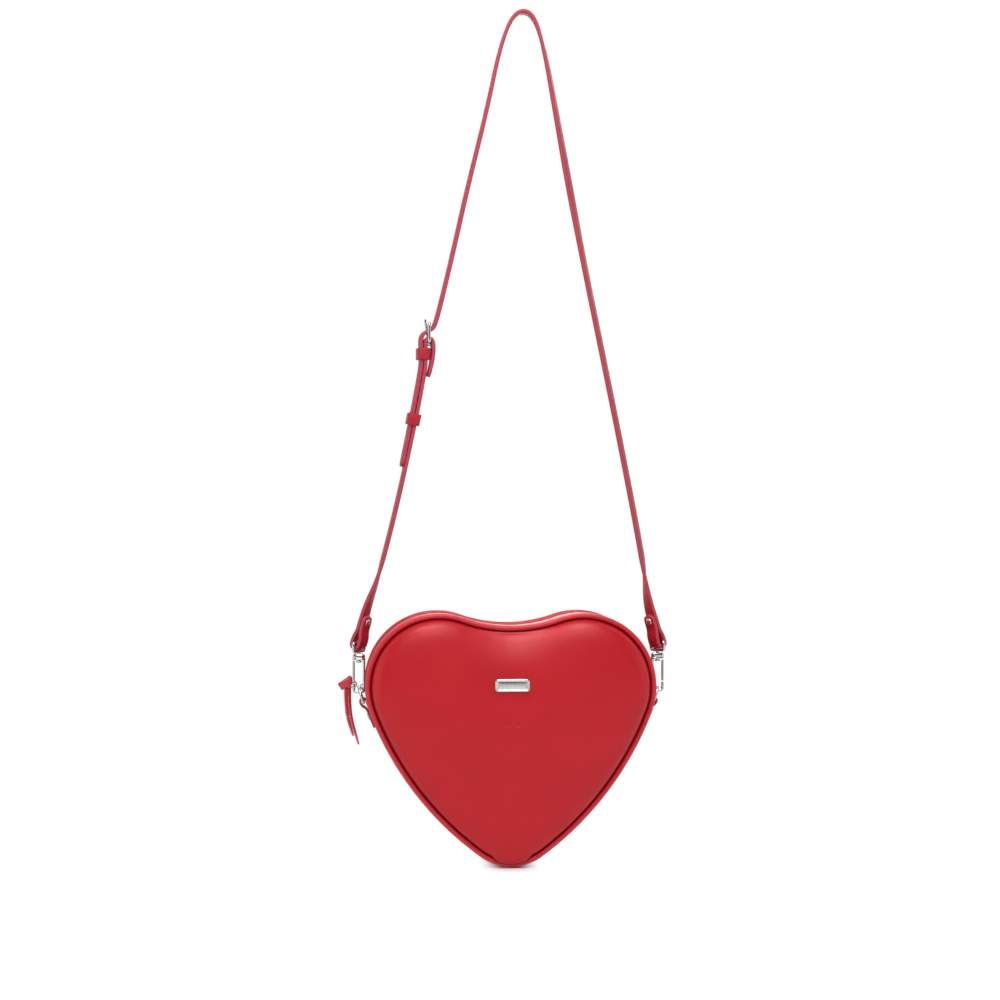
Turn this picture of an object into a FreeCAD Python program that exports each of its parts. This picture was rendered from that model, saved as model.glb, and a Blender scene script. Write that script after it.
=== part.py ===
import FreeCAD, Part
import math
import os
import re
import Sketcher
from FreeCAD import Placement, Rotation, Vector

# A heart shaped leather purse hung from its shoulder strap, all lengths in millimetres.
# The origin lies under the crown of the strap. Z points up and the front faces -Y.

HEART_SIZES = {
    "heart_width": 201.6,
    "heart_height": 175.0,
    "lobe_radius": 51.0,
    "dip_depth": 8.5,
    "side_radius": 220.0,
    "tip_radius": 36.0,
    "seam_half": 25.0,
    "piping_d": 4.0,
    "piping_core_d": 2.2,
    "gusset_inset": 1.4,
    "gusset_t": 1.4,
    "tape_t": 0.7,
    "lining_t": 0.5,
    "panel_t": 1.4,
    "foam_t": 3.0,
    "dome_run": 26.0,
    "dome_rise": 10.0,
    "pocket_w": 84.0,
    "pocket_t": 0.8,
}
ZIP_SIZES = {
    "zip_y": 12.0,
    "zip_slot": 9.0,
    "tape_half": 8.0,
    "chain_half": 2.2,
    "chain_rise": 1.2,
    "seam_drop": 14.0,
    "slider_drop": 3.0,
    "stop_len": 2.4,
    "slider_len": 9.0,
    "slider_half": 3.5,
    "slider_t": 1.4,
    "bridge_half": 1.2,
    "bridge_len": 6.0,
    "bridge_rise": 3.4,
    "bridge_t": 1.0,
    "pull_wire": 1.2,
    "pull_half": 2.6,
    "pull_len": 6.4,
    "pull_bend": 0.8,
    "knot_r": 5.0,
    "knot_depth": 3.4,
    "knot_round": 3.0,
    "knot_eye_r": 1.5,
    "thong_w": 4.5,
    "thong_t": 1.6,
    "thong_drop": 41.0,
}
BADGE_SIZES = {
    "badge_w": 24.0,
    "badge_h": 9.0,
    "badge_t": 1.6,
    "badge_drop": 49.0,
    "badge_post_d": 2.0,
    "badge_post_gap": 14.0,
    "badge_post_end": 1.2,
    "washer_d": 5.0,
    "washer_t": 0.8,
}
RING_SIZES = {
    "tab_w": 9.4,
    "tab_t": 1.5,
    "tab_reach": 11.0,
    "tab_tail": 9.0,
    "tab_bend": 5.0,
    "tab_rivet_drop": 21.0,
    "rivet_head_d": 6.0,
    "rivet_head_t": 1.1,
    "rivet_post_d": 2.4,
    "ring_wire": 2.0,
    "ring_inner": 10.0,
    "ring_len": 10.5,
    "ring_bend": 1.2,
    "hook_out": 4.0,
}
HOOK_SIZES = {
    "hook_inner": 6.0,
    "hook_leg": 1.5,
    "hook_t": 2.6,
    "hook_rise": 21.7,
    "nose_rise": 6.0,
    "collar_h": 5.0,
    "collar_t": 4.8,
    "slot_w": 2.4,
    "slot_wall": 1.5,
    "knuckle_r": 1.3,
    "knuckle_t": 1.2,
    "gate_pin_d": 1.0,
    "spring_d": 1.9,
    "spring_t": 0.6,
    "swivel_d": 2.1,
    "swivel_head_d": 3.8,
    "swivel_head_t": 1.3,
    "eye_wire": 2.2,
    "eye_inner": 10.8,
    "eye_rise": 5.9,
    "eye_bend": 1.5,
}
STRAP_SIZES = {
    "strap_w": 10.0,
    "strap_t": 2.6,
    "strap_drop": 440.0,
    "crown_shift": 10.3,
    "crown_flat": 13.3,
    "flap_len": 20.0,
    "fold_rise": 8.5,
    "strap_rivet_z": 15.0,
    "strap_rivet_d": 5.0,
    "buckle_x": 66.2,
    "buckle_drop": 230.7,
    "buckle_span": 13.3,
    "buckle_inner": 11.2,
    "buckle_wire": 2.2,
    "buckle_bend": 1.6,
    "buckle_flap": 24.0,
    "prong_d": 1.8,
    "prong_over": 3.0,
    "prong_room": 3.0,
    "tail_gap": 0.65,
    "tail_len": 88.0,
    "tail_bend": 20.3,
    "punch_d": 2.8,
    "punch_step": 14.0,
    "punch_end": 11.0,
    "keeper_t": 1.2,
    "keeper_h": 8.0,
    "keeper_gap": 0.4,
    "fixed_keeper_drop": 4.0,
    "slide_keeper_drop": 34.0,
}
PLAY_SIZES = {
    "joint_gap": 0.3,
    "bore_gap": 0.05,
    "overrun": 20.0,
}
STRAP_LEAN = 16.0
PULL_TURN = 25.0
PRONG_TURNS = (-3.0, 0.0, 3.0, 6.0, 9.0)
PUNCH_COUNT = 4
KNOT_SEAT_SHARE = 0.7
POCKET_SHARES = (0.42, 0.70)

# Shares of the dome: how far in, how far out, and which way its thickness points.
DOME_SHARES = (
    (0.00, 0.00, 1.00, 0.00),
    (0.05, 0.46, 0.95, 0.35),
    (0.20, 0.74, 0.60, 0.80),
    (0.42, 0.89, 0.25, 0.97),
    (0.70, 0.97, 0.08, 1.00),
    (1.00, 1.00, 0.00, 1.00),
)
# Shares of the strap's way from the crown to an end, across and down.
RIGHT_LEG_SHARES = ((0.890, 0.870), (0.736, 0.698), (0.600, 0.555), (0.470, 0.420))
RIGHT_TOP_SHARES = ((0.344, 0.281), (0.241, 0.158), (0.159, 0.061))
LEFT_TOP_SHARES = ((0.248, 0.111), (0.387, 0.314), (0.588, 0.558), (0.757, 0.785), (0.857, 0.912))
# Shares of the buckle's span, measured from its lower bar, for the way through the frame.
BUCKLE_PASS_SHARES = ((0.263, 0.790), (-0.460, 0.420))
# Shares of the way from the buckle to the left end of the strap.
LEFT_LEG_SHARES = ((0.396, 0.482), (0.711, 0.776))
# Shares of the thong's drop, sideways and down, for its two tails.
LONG_TAIL_SHARES = ((0.00, 0.00), (-0.04, 0.34), (0.02, 0.60), (0.24, 1.00))
SHORT_TAIL_SHARES = ((0.02, 0.00), (-0.06, 0.32), (-0.02, 0.58), (0.16, 0.86))

SIZES = {
    **HEART_SIZES, **ZIP_SIZES, **BADGE_SIZES, **RING_SIZES, **HOOK_SIZES, **STRAP_SIZES, **PLAY_SIZES,
}
FACE_SHARES = {"front": -1, "back": 1}
SIDE_SHARES = {"left": -1, "right": 1}
FRONT = FACE_SHARES["front"]
LEFT = SIDE_SHARES["left"]
RIGHT = SIDE_SHARES["right"]

doc = FreeCAD.newDocument("HeartPurse")
sheet = doc.addObject("Spreadsheet::Sheet", "Sizes")
for row, (alias, number) in enumerate(SIZES.items(), start=1):
    sheet.set(f"A{row}", alias)
    sheet.set(f"B{row}", str(number))
    sheet.setAlias(f"B{row}", alias)
gauge = doc.addObject("App::FeaturePython", "Gauge")
gauge.addProperty("App::PropertyFloat", "Reading")
doc.recompute()
finished = {}


# Binding to the sheet

def cells(formula):
    return re.sub(r"[a-z_]\w*", lambda m: "Sizes." + m[0] if m[0] in SIZES else m[0], formula)


def amount(formula):
    gauge.setExpression("Reading", cells(formula))
    gauge.recompute()
    return float(gauge.Reading)


def bind(obj, **formulas):
    for name, formula in formulas.items():
        obj.setExpression(name.replace("__", "."), cells(formula))
    return obj


def finish(label, obj, placement=None):
    obj.Label = label
    if placement is not None:
        obj.Placement = placement
    finished[label] = obj
    return obj


# Sketches and bodies

def new_body(label):
    return doc.addObject("PartDesign::Body", "Body_" + label)


def new_sketch(body, role, offset):
    sketch = body.newObject("Sketcher::SketchObject", "Sketch")
    plane = [item for item in body.Origin.OriginFeatures if item.Role == role][0]
    sketch.AttachmentSupport = [(plane, "")]
    sketch.MapMode = "FlatFace"
    return bind(sketch, AttachmentOffset__Base__z=offset)


def hold(sketch, constraint, formula):
    index = sketch.addConstraint(constraint)
    label = f"held_{index}"
    sketch.renameConstraint(index, label)
    sketch.setExpression("Constraints." + label, cells(formula))


def hold_point(sketch, item, spot, across, up):
    for kind, axis, formula in (("DistanceX", -2, across), ("DistanceY", -1, up)):
        if formula == "0":
            sketch.addConstraint(Sketcher.Constraint("PointOnObject", item, spot, axis))
        else:
            hold(sketch, Sketcher.Constraint(kind, -1, 1, item, spot, amount(formula)), formula)


def outline(body, role, offset, corners):
    sketch = new_sketch(body, role, offset)
    spots = [Vector(amount(across), amount(up), 0) for across, up in corners]
    count = len(spots)
    for i in range(count):
        sketch.addGeometry(Part.LineSegment(spots[i], spots[(i + 1) % count]), False)
    for i in range(count):
        sketch.addConstraint(Sketcher.Constraint("Coincident", i, 2, (i + 1) % count, 1))
    for i, (across, up) in enumerate(corners):
        hold_point(sketch, i, 1, across, up)
    return sketch


def circles(body, role, offset, rounds):
    sketch = new_sketch(body, role, offset)
    for i, (across, up, radius) in enumerate(rounds):
        centre = Vector(amount(across), amount(up), 0)
        sketch.addGeometry(Part.Circle(centre, Vector(0, 0, 1), amount(radius)), False)
        hold_point(sketch, i, 3, across, up)
        hold(sketch, Sketcher.Constraint("Radius", i, amount(radius)), radius)
    return sketch


def box_corners(x0, x1, z0, z1):
    return ((x0, z0), (x1, z0), (x1, z1), (x0, z1))


def pad(body, sketch, length, backwards=True):
    feature = body.newObject("PartDesign::Pad", "Pad")
    feature.Profile = sketch
    feature.Reversed = backwards
    return bind(feature, Length=length)


def pocket(body, sketch, length=None, reverse=False):
    feature = body.newObject("PartDesign::Pocket", "Pocket")
    feature.Profile = sketch
    feature.Reversed = reverse
    if length is None:
        feature.Type = "ThroughAll"
        return feature
    return bind(feature, Length=length)


# The heart outline, six arcs tangent to each other

DIP_RADIUS = ("((heart_width / 2 - lobe_radius)^2 + (lobe_radius - dip_depth)^2 - lobe_radius^2)"
              " / (2 * dip_depth)")
LOBE_X = "(heart_width / 2 - lobe_radius)"
LOBE_Z = "(heart_height - lobe_radius)"
SEAM_Z = f"({LOBE_Z} - seam_drop)"
CHAIN_Z = f"({LOBE_Z} - slider_drop - slider_len / 2 - joint_gap)"
BADGE_Z = "(heart_height - badge_drop)"
POCKET_LOW = f"(heart_height * {POCKET_SHARES[0]})"
POCKET_TOP = f"(heart_height * {POCKET_SHARES[1]})"
TAB_RIVET_Z = f"({LOBE_Z} - tab_rivet_drop)"
HOOK_X = "(heart_width / 2 + hook_out)"
ARC_COUNT = 6


def side_centre():
    lobe = Vector(amount(LOBE_X), amount(LOBE_Z), 0)
    tip = Vector(0, amount("tip_radius"), 0)
    to_lobe = amount("side_radius - lobe_radius")
    to_tip = amount("side_radius - tip_radius")
    apart = lobe.distanceToPoint(tip)
    along = (to_lobe ** 2 - to_tip ** 2 + apart ** 2) / (2 * apart)
    across = math.sqrt(to_lobe ** 2 - along ** 2)
    way = (tip - lobe).normalize()
    normal = Vector(-way.y, way.x, 0)
    choices = (lobe + way * along + normal * across, lobe + way * along - normal * across)
    return min(choices, key=lambda spot: spot.x)


def arc(x, y, radius, start, end):
    return Part.ArcOfCircle(Part.Circle(Vector(x, y, 0), Vector(0, 0, 1), radius), start, end)


def heart_arcs(inset):
    lobe_x = amount(LOBE_X)
    lobe_z = amount(LOBE_Z)
    lobe_r = amount("lobe_radius") - inset
    side_r = amount("side_radius") - inset
    tip_z = amount("tip_radius")
    dip_r = amount(DIP_RADIUS)
    dip_z = amount("heart_height - dip_depth") + dip_r
    side = side_centre()
    to_lobe = math.atan2(lobe_z - side.y, lobe_x - side.x)
    to_tip = math.atan2(tip_z - side.y, -side.x)
    to_dip = math.atan2(lobe_z - dip_z, lobe_x)
    half = math.pi
    return [
        arc(0, dip_z, dip_r + inset, -half - to_dip, to_dip),
        arc(lobe_x, lobe_z, lobe_r, to_lobe, to_dip + half),
        arc(side.x, side.y, side_r, to_tip, to_lobe),
        arc(0, tip_z, tip_z - inset, -half - to_tip, to_tip),
        arc(-side.x, side.y, side_r, half - to_lobe, half - to_tip),
        arc(-lobe_x, lobe_z, lobe_r, -to_dip, half - to_lobe),
    ]


def heart(body, inset, y):
    sketch = new_sketch(body, "XZ_Plane", f"-({y})")
    for item in heart_arcs(amount(inset)):
        sketch.addGeometry(item, False)
    begin, end = 1, 2
    sketch.addConstraint(Sketcher.Constraint("Tangent", 0, end, 1, end))
    for item in range(1, ARC_COUNT - 1):
        sketch.addConstraint(Sketcher.Constraint("Tangent", item, begin, item + 1, end))
    sketch.addConstraint(Sketcher.Constraint("Tangent", ARC_COUNT - 1, begin, 0, begin))
    sketch.addConstraint(Sketcher.Constraint("PointOnObject", 0, 3, -2))
    sketch.addConstraint(Sketcher.Constraint("Symmetric", 1, 3, 5, 3, -2))
    sketch.addConstraint(Sketcher.Constraint("Equal", 2, 4))
    hold_point(sketch, 1, 3, LOBE_X, LOBE_Z)
    hold_point(sketch, 3, 3, "0", "tip_radius")
    radii = {0: f"{DIP_RADIUS} + ({inset})"}
    for item, alias in ((1, "lobe_radius"), (2, "side_radius"), (3, "tip_radius")):
        radii[item] = f"{alias} - ({inset})"
    for item, formula in radii.items():
        hold(sketch, Sketcher.Constraint("Radius", item, amount(formula)), formula)
    return sketch


def above(body, z, y):
    return outline(body, "XZ_Plane", f"-({y})",
                   box_corners("-heart_width", "heart_width", z, "heart_height + overrun"))


def below(body, z, y):
    return outline(body, "XZ_Plane", f"-({y})",
                   box_corners("-heart_width", "heart_width", "-overrun", z))


def band_ring(label, outer, inner, y0, y1, upper_from=None, lower_to=None):
    body = new_body(label)
    pad(body, heart(body, outer, y0), f"({y1}) - ({y0})")
    pocket(body, heart(body, inner, y0))
    if upper_from:
        pocket(body, below(body, upper_from, y0))
    if lower_to:
        pocket(body, above(body, lower_to, y0))
    return body


def dome(label, near, far):
    body = new_body(label)
    for kind, depth in (("PartDesign::AdditiveLoft", near), ("PartDesign::SubtractiveLoft", far)):
        sections = []
        for run_share, rise_share, in_share, out_share in DOME_SHARES:
            inset = f"piping_d + dome_run * {run_share} + ({depth}) * {in_share}"
            y = f"-(seam_half + dome_rise * {rise_share} - ({depth}) * {out_share})"
            sections.append(heart(body, inset, y))
        loft = body.newObject(kind, "Loft")
        loft.Profile = sections[0]
        loft.Sections = sections[1:]
    return body


def pipe(body, spine, diameter, kind):
    ring = circles(body, "YZ_Plane", "0", (("-seam_half", "piping_d / 2", f"({diameter}) / 2"),))
    feature = body.newObject(kind, "Pipe")
    feature.Profile = ring
    feature.Spine = (spine, [f"Edge{i + 1}" for i in range(ARC_COUNT)])
    return feature


# Plain solids

def cylinder(start, way, radius, height=None):
    obj = doc.addObject("Part::Cylinder", "Cylinder")
    obj.Placement = Placement(start, Rotation(Vector(0, 0, 1), way))
    if height is None:
        obj.Height = way.Length
        return bind(obj, Radius=radius)
    return bind(obj, Radius=radius, Height=height)


def fuse(items):
    obj = doc.addObject("Part::MultiFuse", "Fuse")
    obj.Shapes = items
    return obj


def cut(base, tool):
    obj = doc.addObject("Part::Cut", "Cut")
    obj.Base = base
    obj.Tool = tool
    return obj


def elbow(spot, into, out, radius, bend):
    obj = doc.addObject("Part::Torus", "Elbow")
    bind(obj, Radius1=bend, Radius2=radius)
    obj.Angle3 = 90
    obj.Placement = Placement(spot + (out - into) * amount(bend),
                              Rotation(out * -1, into, into.cross(out), "XYZ"))
    return obj


def wire_frame(corners, radius, bend):
    count = len(corners)
    pieces = []
    for i, spot in enumerate(corners):
        after = corners[(i + 1) % count]
        into = (spot - corners[i - 1]).normalize()
        out = (after - spot).normalize()
        start = spot + out * amount(bend)
        run = after - out * amount(bend) - start
        pieces += [elbow(spot, into, out, radius, bend), cylinder(start, run, radius)]
    return fuse(pieces)


# Bands of leather along a route of straight runs and tangent arcs

def rounded(points):
    corners = []
    for before, spot, after in zip(points, points[1:], points[2:]):
        into = spot - before
        out = after - spot
        reach = min(into.Length, out.Length) / 2
        into.normalize()
        out.normalize()
        corners.append((spot - into * reach, spot, spot + out * reach, into, out))
    return corners


def offset_edges(points, side):
    def aside(way):
        return Vector(way.z, 0, -way.x) * side

    first = (points[1] - points[0]).normalize()
    last = (points[-1] - points[-2]).normalize()
    edges = []
    here = points[0] + aside(first)
    for start, spot, end, into, out in rounded(points):
        begin = start + aside(into)
        finish_at = end + aside(out)
        half_turn = into.getAngle(out) / 2
        if begin.distanceToPoint(here) > Part.Precision.confusion():
            edges.append(Part.LineSegment(here, begin).toShape())
        inward = (out - into).normalize()
        reach = start.distanceToPoint(spot)
        radius = reach / math.tan(half_turn)
        centre = spot + inward * (radius / math.cos(half_turn))
        middle = centre - inward * radius + aside((into + out).normalize())
        edges.append(Part.Arc(begin, middle, finish_at).toShape())
        here = finish_at
    stop = points[-1] + aside(last)
    if stop.distanceToPoint(here) > Part.Precision.confusion():
        edges.append(Part.LineSegment(here, stop).toShape())
    return edges


def band(points, thick, width, y):
    near = offset_edges(points, -thick / 2)
    far = offset_edges(points, thick / 2)
    caps = []
    for i, vertex in ((0, 0), (-1, -1)):
        ends = [edges[i].Vertexes[vertex].Point for edges in (near, far)]
        caps.append(Part.LineSegment(*ends).toShape())
    wire = Part.Wire(Part.sortEdges(near + far + caps)[0])
    face = Part.Face(wire)
    face.translate(Vector(0, y - width / 2, 0))
    return face.extrude(Vector(0, width, 0))


def solid(label, shape, placement=None):
    obj = doc.addObject("Part::Feature", "Solid_" + label)
    obj.Shape = shape
    return finish(label, obj, placement)


def drill(spot, way, diameter):
    long = amount("overrun")
    way = Vector(way).normalize()
    return Part.makeCylinder(diameter / 2, long, spot - way * (long / 2), way)


# Where the strap ends, the hooks and the bag lie

def tab_frame():
    middle = side_centre()
    round_top = Vector(amount(LOBE_X), amount(LOBE_Z), 0)
    surface = amount("side_radius - gusset_inset")
    meeting = middle.y + surface * math.sin(math.atan2(round_top.y - middle.y, round_top.x - middle.x))
    if amount(TAB_RIVET_Z) > meeting:
        middle = round_top
        surface = amount("lobe_radius - gusset_inset")
    slope = math.asin((middle.y - amount(TAB_RIVET_Z)) / surface)
    spot = Vector(middle.x + surface * math.cos(slope), 0, amount(TAB_RIVET_Z))
    return spot, math.degrees(slope)


def on_side(side, placement):
    turn = Rotation() if side == RIGHT else Rotation(Vector(0, 0, 1), 180)
    return bag.multiply(Placement(Vector(), turn)).multiply(placement)


rivet_spot, tab_slope = tab_frame()
tab_turn = Rotation(Vector(0, 1, 0), tab_slope)
loop_r = amount("ring_wire / 2 + joint_gap")
loop_spot = rivet_spot + tab_turn.multVec(Vector(loop_r + amount("tab_t"), 0, amount("tab_reach")))
ring_lean = amount(HOOK_X) - loop_spot.x
bow_z = loop_spot.z + math.sqrt(amount("ring_len") ** 2 - ring_lean ** 2)
claw_z = bow_z - amount("ring_wire / 2 + hook_t / 2 + joint_gap")
eye_up = amount("hook_rise + collar_h + joint_gap + eye_wire / 2 + eye_rise")
bag = Placement(Vector(-amount("crown_shift"), 0, -amount("strap_drop") - claw_z - eye_up), Rotation())

# Bag shell

GUSSET_EDGE = "(seam_half - piping_d / 2)"
ZIP_NEAR = "(zip_y - zip_slot / 2)"
ZIP_FAR = "(zip_y + zip_slot / 2)"
TAPE = "(gusset_inset + gusset_t)"
LINING = "(gusset_inset + gusset_t + tape_t)"
SKIN, PAD, CLOTH = "0", "panel_t", "panel_t + foam_t"
INSIDE = "panel_t + foam_t + lining_t"

posts = []
for side in (LEFT, RIGHT):
    hole = cylinder(Vector(side * amount("badge_post_gap") / 2, 0, amount(BADGE_Z)), Vector(0, -1, 0),
                    "badge_post_d / 2", "seam_half + dome_rise + overrun")
    posts.append(hole)
post_holes = fuse(posts)
for name, near, far in (("panel", SKIN, PAD), ("foam", PAD, CLOTH), ("lining", CLOTH, INSIDE)):
    shell = dome(name, near, far)
    finish("front_" + name, cut(shell, post_holes), bag)
    mirror = doc.addObject("Part::Mirroring", "Mirror")
    mirror.Source = shell
    mirror.Normal = Vector(0, 1, 0)
    finish("back_" + name, mirror, bag)

finish("zip_gusset_front",
       band_ring("zip_front", "gusset_inset", TAPE, "-" + GUSSET_EDGE, ZIP_NEAR, upper_from=SEAM_Z), bag)
finish("zip_gusset_back",
       band_ring("zip_back", "gusset_inset", TAPE, ZIP_FAR, GUSSET_EDGE, upper_from=SEAM_Z), bag)
bottom = band_ring("bottom", "gusset_inset", LINING, "-" + GUSSET_EDGE, GUSSET_EDGE, lower_to=SEAM_Z)
gusset_cloth = band_ring("gusset_lining", LINING, LINING + " + lining_t", "-" + GUSSET_EDGE, GUSSET_EDGE)
pocket(gusset_cloth, above(gusset_cloth, SEAM_Z, ZIP_NEAR), "zip_slot")

for name, end in FACE_SHARES.items():
    cover = new_body(name + "_piping")
    spine = heart(cover, "piping_d / 2", "-seam_half")
    pipe(cover, spine, "piping_d", "PartDesign::AdditivePipe")
    pipe(cover, spine, "piping_core_d", "PartDesign::SubtractivePipe")
    core = new_body(name + "_piping_cord")
    pipe(core, heart(core, "piping_d / 2", "-seam_half"), "piping_core_d", "PartDesign::AdditivePipe")
    turned = bag if end == FRONT else bag.multiply(Placement(Vector(), Rotation(Vector(0, 0, 1), 180)))
    finish(name + "_piping", cover, turned)
    finish(name + "_piping_cord", core, turned)

slip = new_body("pocket")
pad(slip, outline(slip, "XZ_Plane", f"-(seam_half + dome_rise - ({INSIDE}) - pocket_t)",
                  box_corners("-pocket_w / 2", "pocket_w / 2", POCKET_LOW, POCKET_TOP)), "pocket_t")
finish("inner_pocket", slip, bag)

# Badge

badge = new_body("badge")
pad(badge, outline(badge, "XZ_Plane", "seam_half + dome_rise + badge_t",
                   box_corners("-badge_w / 2", "badge_w / 2",
                               BADGE_Z + " - badge_h / 2", BADGE_Z + " + badge_h / 2")), "badge_t")
post_rounds = [(f"{s} * badge_post_gap / 2", BADGE_Z, "badge_post_d / 2") for s in (LEFT, RIGHT)]
pad(badge, circles(badge, "XZ_Plane", "seam_half + dome_rise", post_rounds), f"{INSIDE} + badge_post_end")
finish("badge_plate", badge, bag)
discs = []
for side in (LEFT, RIGHT):
    spot = Vector(side * amount("badge_post_gap") / 2, -amount(f"seam_half + dome_rise - ({INSIDE})"),
                  amount(BADGE_Z))
    discs.append(cylinder(spot, Vector(0, 1, 0), "washer_d / 2", "washer_t"))
finish("badge_washers", cut(fuse(discs), post_holes), bag)

# Zip

for name, y0, y1, c0, c1 in (
        ("front", "zip_y - tape_half", "zip_y", "zip_y - chain_half", "zip_y"),
        ("back", "zip_y", "zip_y + tape_half", "zip_y", "zip_y + chain_half")):
    finish("zip_tape_" + name, band_ring("tape_" + name, TAPE, LINING, y0, y1, upper_from=SEAM_Z), bag)
    finish("zip_chain_" + name,
           band_ring("chain_" + name, TAPE + " - chain_rise", TAPE, c0, c1, upper_from=CHAIN_Z), bag)
stops = band_ring("stops", TAPE + " - chain_rise - slider_t", TAPE,
                  "zip_y - chain_half", "zip_y + chain_half",
                  upper_from=CHAIN_Z + " - stop_len", lower_to=CHAIN_Z)
finish("zip_stops", stops, bag)

lobe = Vector(-amount(LOBE_X), amount("zip_y"), amount(LOBE_Z))
chain_top = f"(lobe_radius - {TAPE} + chain_rise)"
plate_low = f"({chain_top} + joint_gap)"
plate_top = f"({plate_low} + slider_t)"
slider_turn = math.degrees(math.asin(amount(f"slider_drop / {plate_top}")))
slider = new_body("slider")
pad(slider, outline(slider, "XZ_Plane", "slider_half", box_corners(
    "-" + plate_top, f"-(lobe_radius - {TAPE} + joint_gap)", "-slider_len / 2", "slider_len / 2")),
    "2 * slider_half")
pocket(slider, outline(slider, "XZ_Plane", "chain_half + joint_gap", box_corners(
    "-" + plate_low, f"-({plate_low} - overrun)", "-slider_len", "slider_len")),
    "2 * (chain_half + joint_gap)")
pad(slider, outline(slider, "XZ_Plane", "bridge_half", box_corners(
    f"-({plate_top} + bridge_rise)", "-" + plate_top, "-bridge_len / 2", "bridge_len / 2")),
    "2 * bridge_half")
pocket(slider, outline(slider, "XZ_Plane", "slider_half", box_corners(
    f"-({plate_top} + bridge_rise - bridge_t)", "-" + plate_top,
    "-bridge_len / 2 + bridge_t", "bridge_len / 2 - bridge_t")))
slider_place = bag.multiply(Placement(lobe, Rotation(Vector(0, 1, 0), -slider_turn)))
finish("zip_slider", slider, slider_place)

hinge_r = amount(f"{plate_top} + bridge_rise - bridge_t - pull_wire / 2 - joint_gap")
pull_place = slider_place.multiply(
    Placement(Vector(-hinge_r, 0, 0), Rotation(Vector(0, 1, 0), PULL_TURN + slider_turn)))
across = Vector(0, amount("pull_half"), 0)
outward = Vector(-amount("pull_len"), 0, 0)
link = wire_frame([across * -1, across, across + outward, outward - across], "pull_wire / 2", "pull_bend")
finish("zip_pull", link, pull_place)

thong_place = pull_place.multiply(
    Placement(outward, Rotation(Vector(0, 1, 0), -PULL_TURN)))
knot_shift = amount(f"pull_wire / 2 + joint_gap + knot_eye_r + knot_r * {KNOT_SEAT_SHARE}")
knot_disc = cylinder(Vector(-knot_shift, -amount("knot_depth"), 0), Vector(0, 1, 0),
                     "knot_r", "2 * knot_depth")
doc.recompute()
knot = doc.addObject("Part::Fillet", "Knot")
knot.Base = knot_disc
rims = [i for i, edge in enumerate(knot_disc.Shape.Edges, start=1) if edge.Closed]
knot.Edges = [(i, amount("knot_round"), amount("knot_round")) for i in rims]
eye_start = Vector(0, -amount("thong_w / 2 - joint_gap"), 0)
eye_wall = cylinder(eye_start, Vector(0, 1, 0), "pull_wire / 2 + joint_gap + knot_eye_r",
                    "thong_w - 2 * joint_gap")
eye_hole = cylinder(eye_start - Vector(0, amount("overrun"), 0), Vector(0, 1, 0),
                    "pull_wire / 2 + joint_gap", "3 * overrun")
thong_parts = [cut(fuse([knot, eye_wall]), eye_hole)]
drop = amount("thong_drop")
for label, tail_shares, y in (("long", LONG_TAIL_SHARES, amount("(thong_t + joint_gap) / 2")),
                              ("short", SHORT_TAIL_SHARES, -amount("(thong_t + joint_gap) / 2"))):
    route = [Vector(-knot_shift + x_share * drop, 0, -z_share * drop) for x_share, z_share in tail_shares]
    strip = doc.addObject("Part::Feature", "Strip_" + label)
    strip.Shape = band(route, amount("thong_w"), amount("thong_t"), y)
    thong_parts.append(strip)
finish("pull_thong", fuse(thong_parts), thong_place)

# Side tabs and rings

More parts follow.
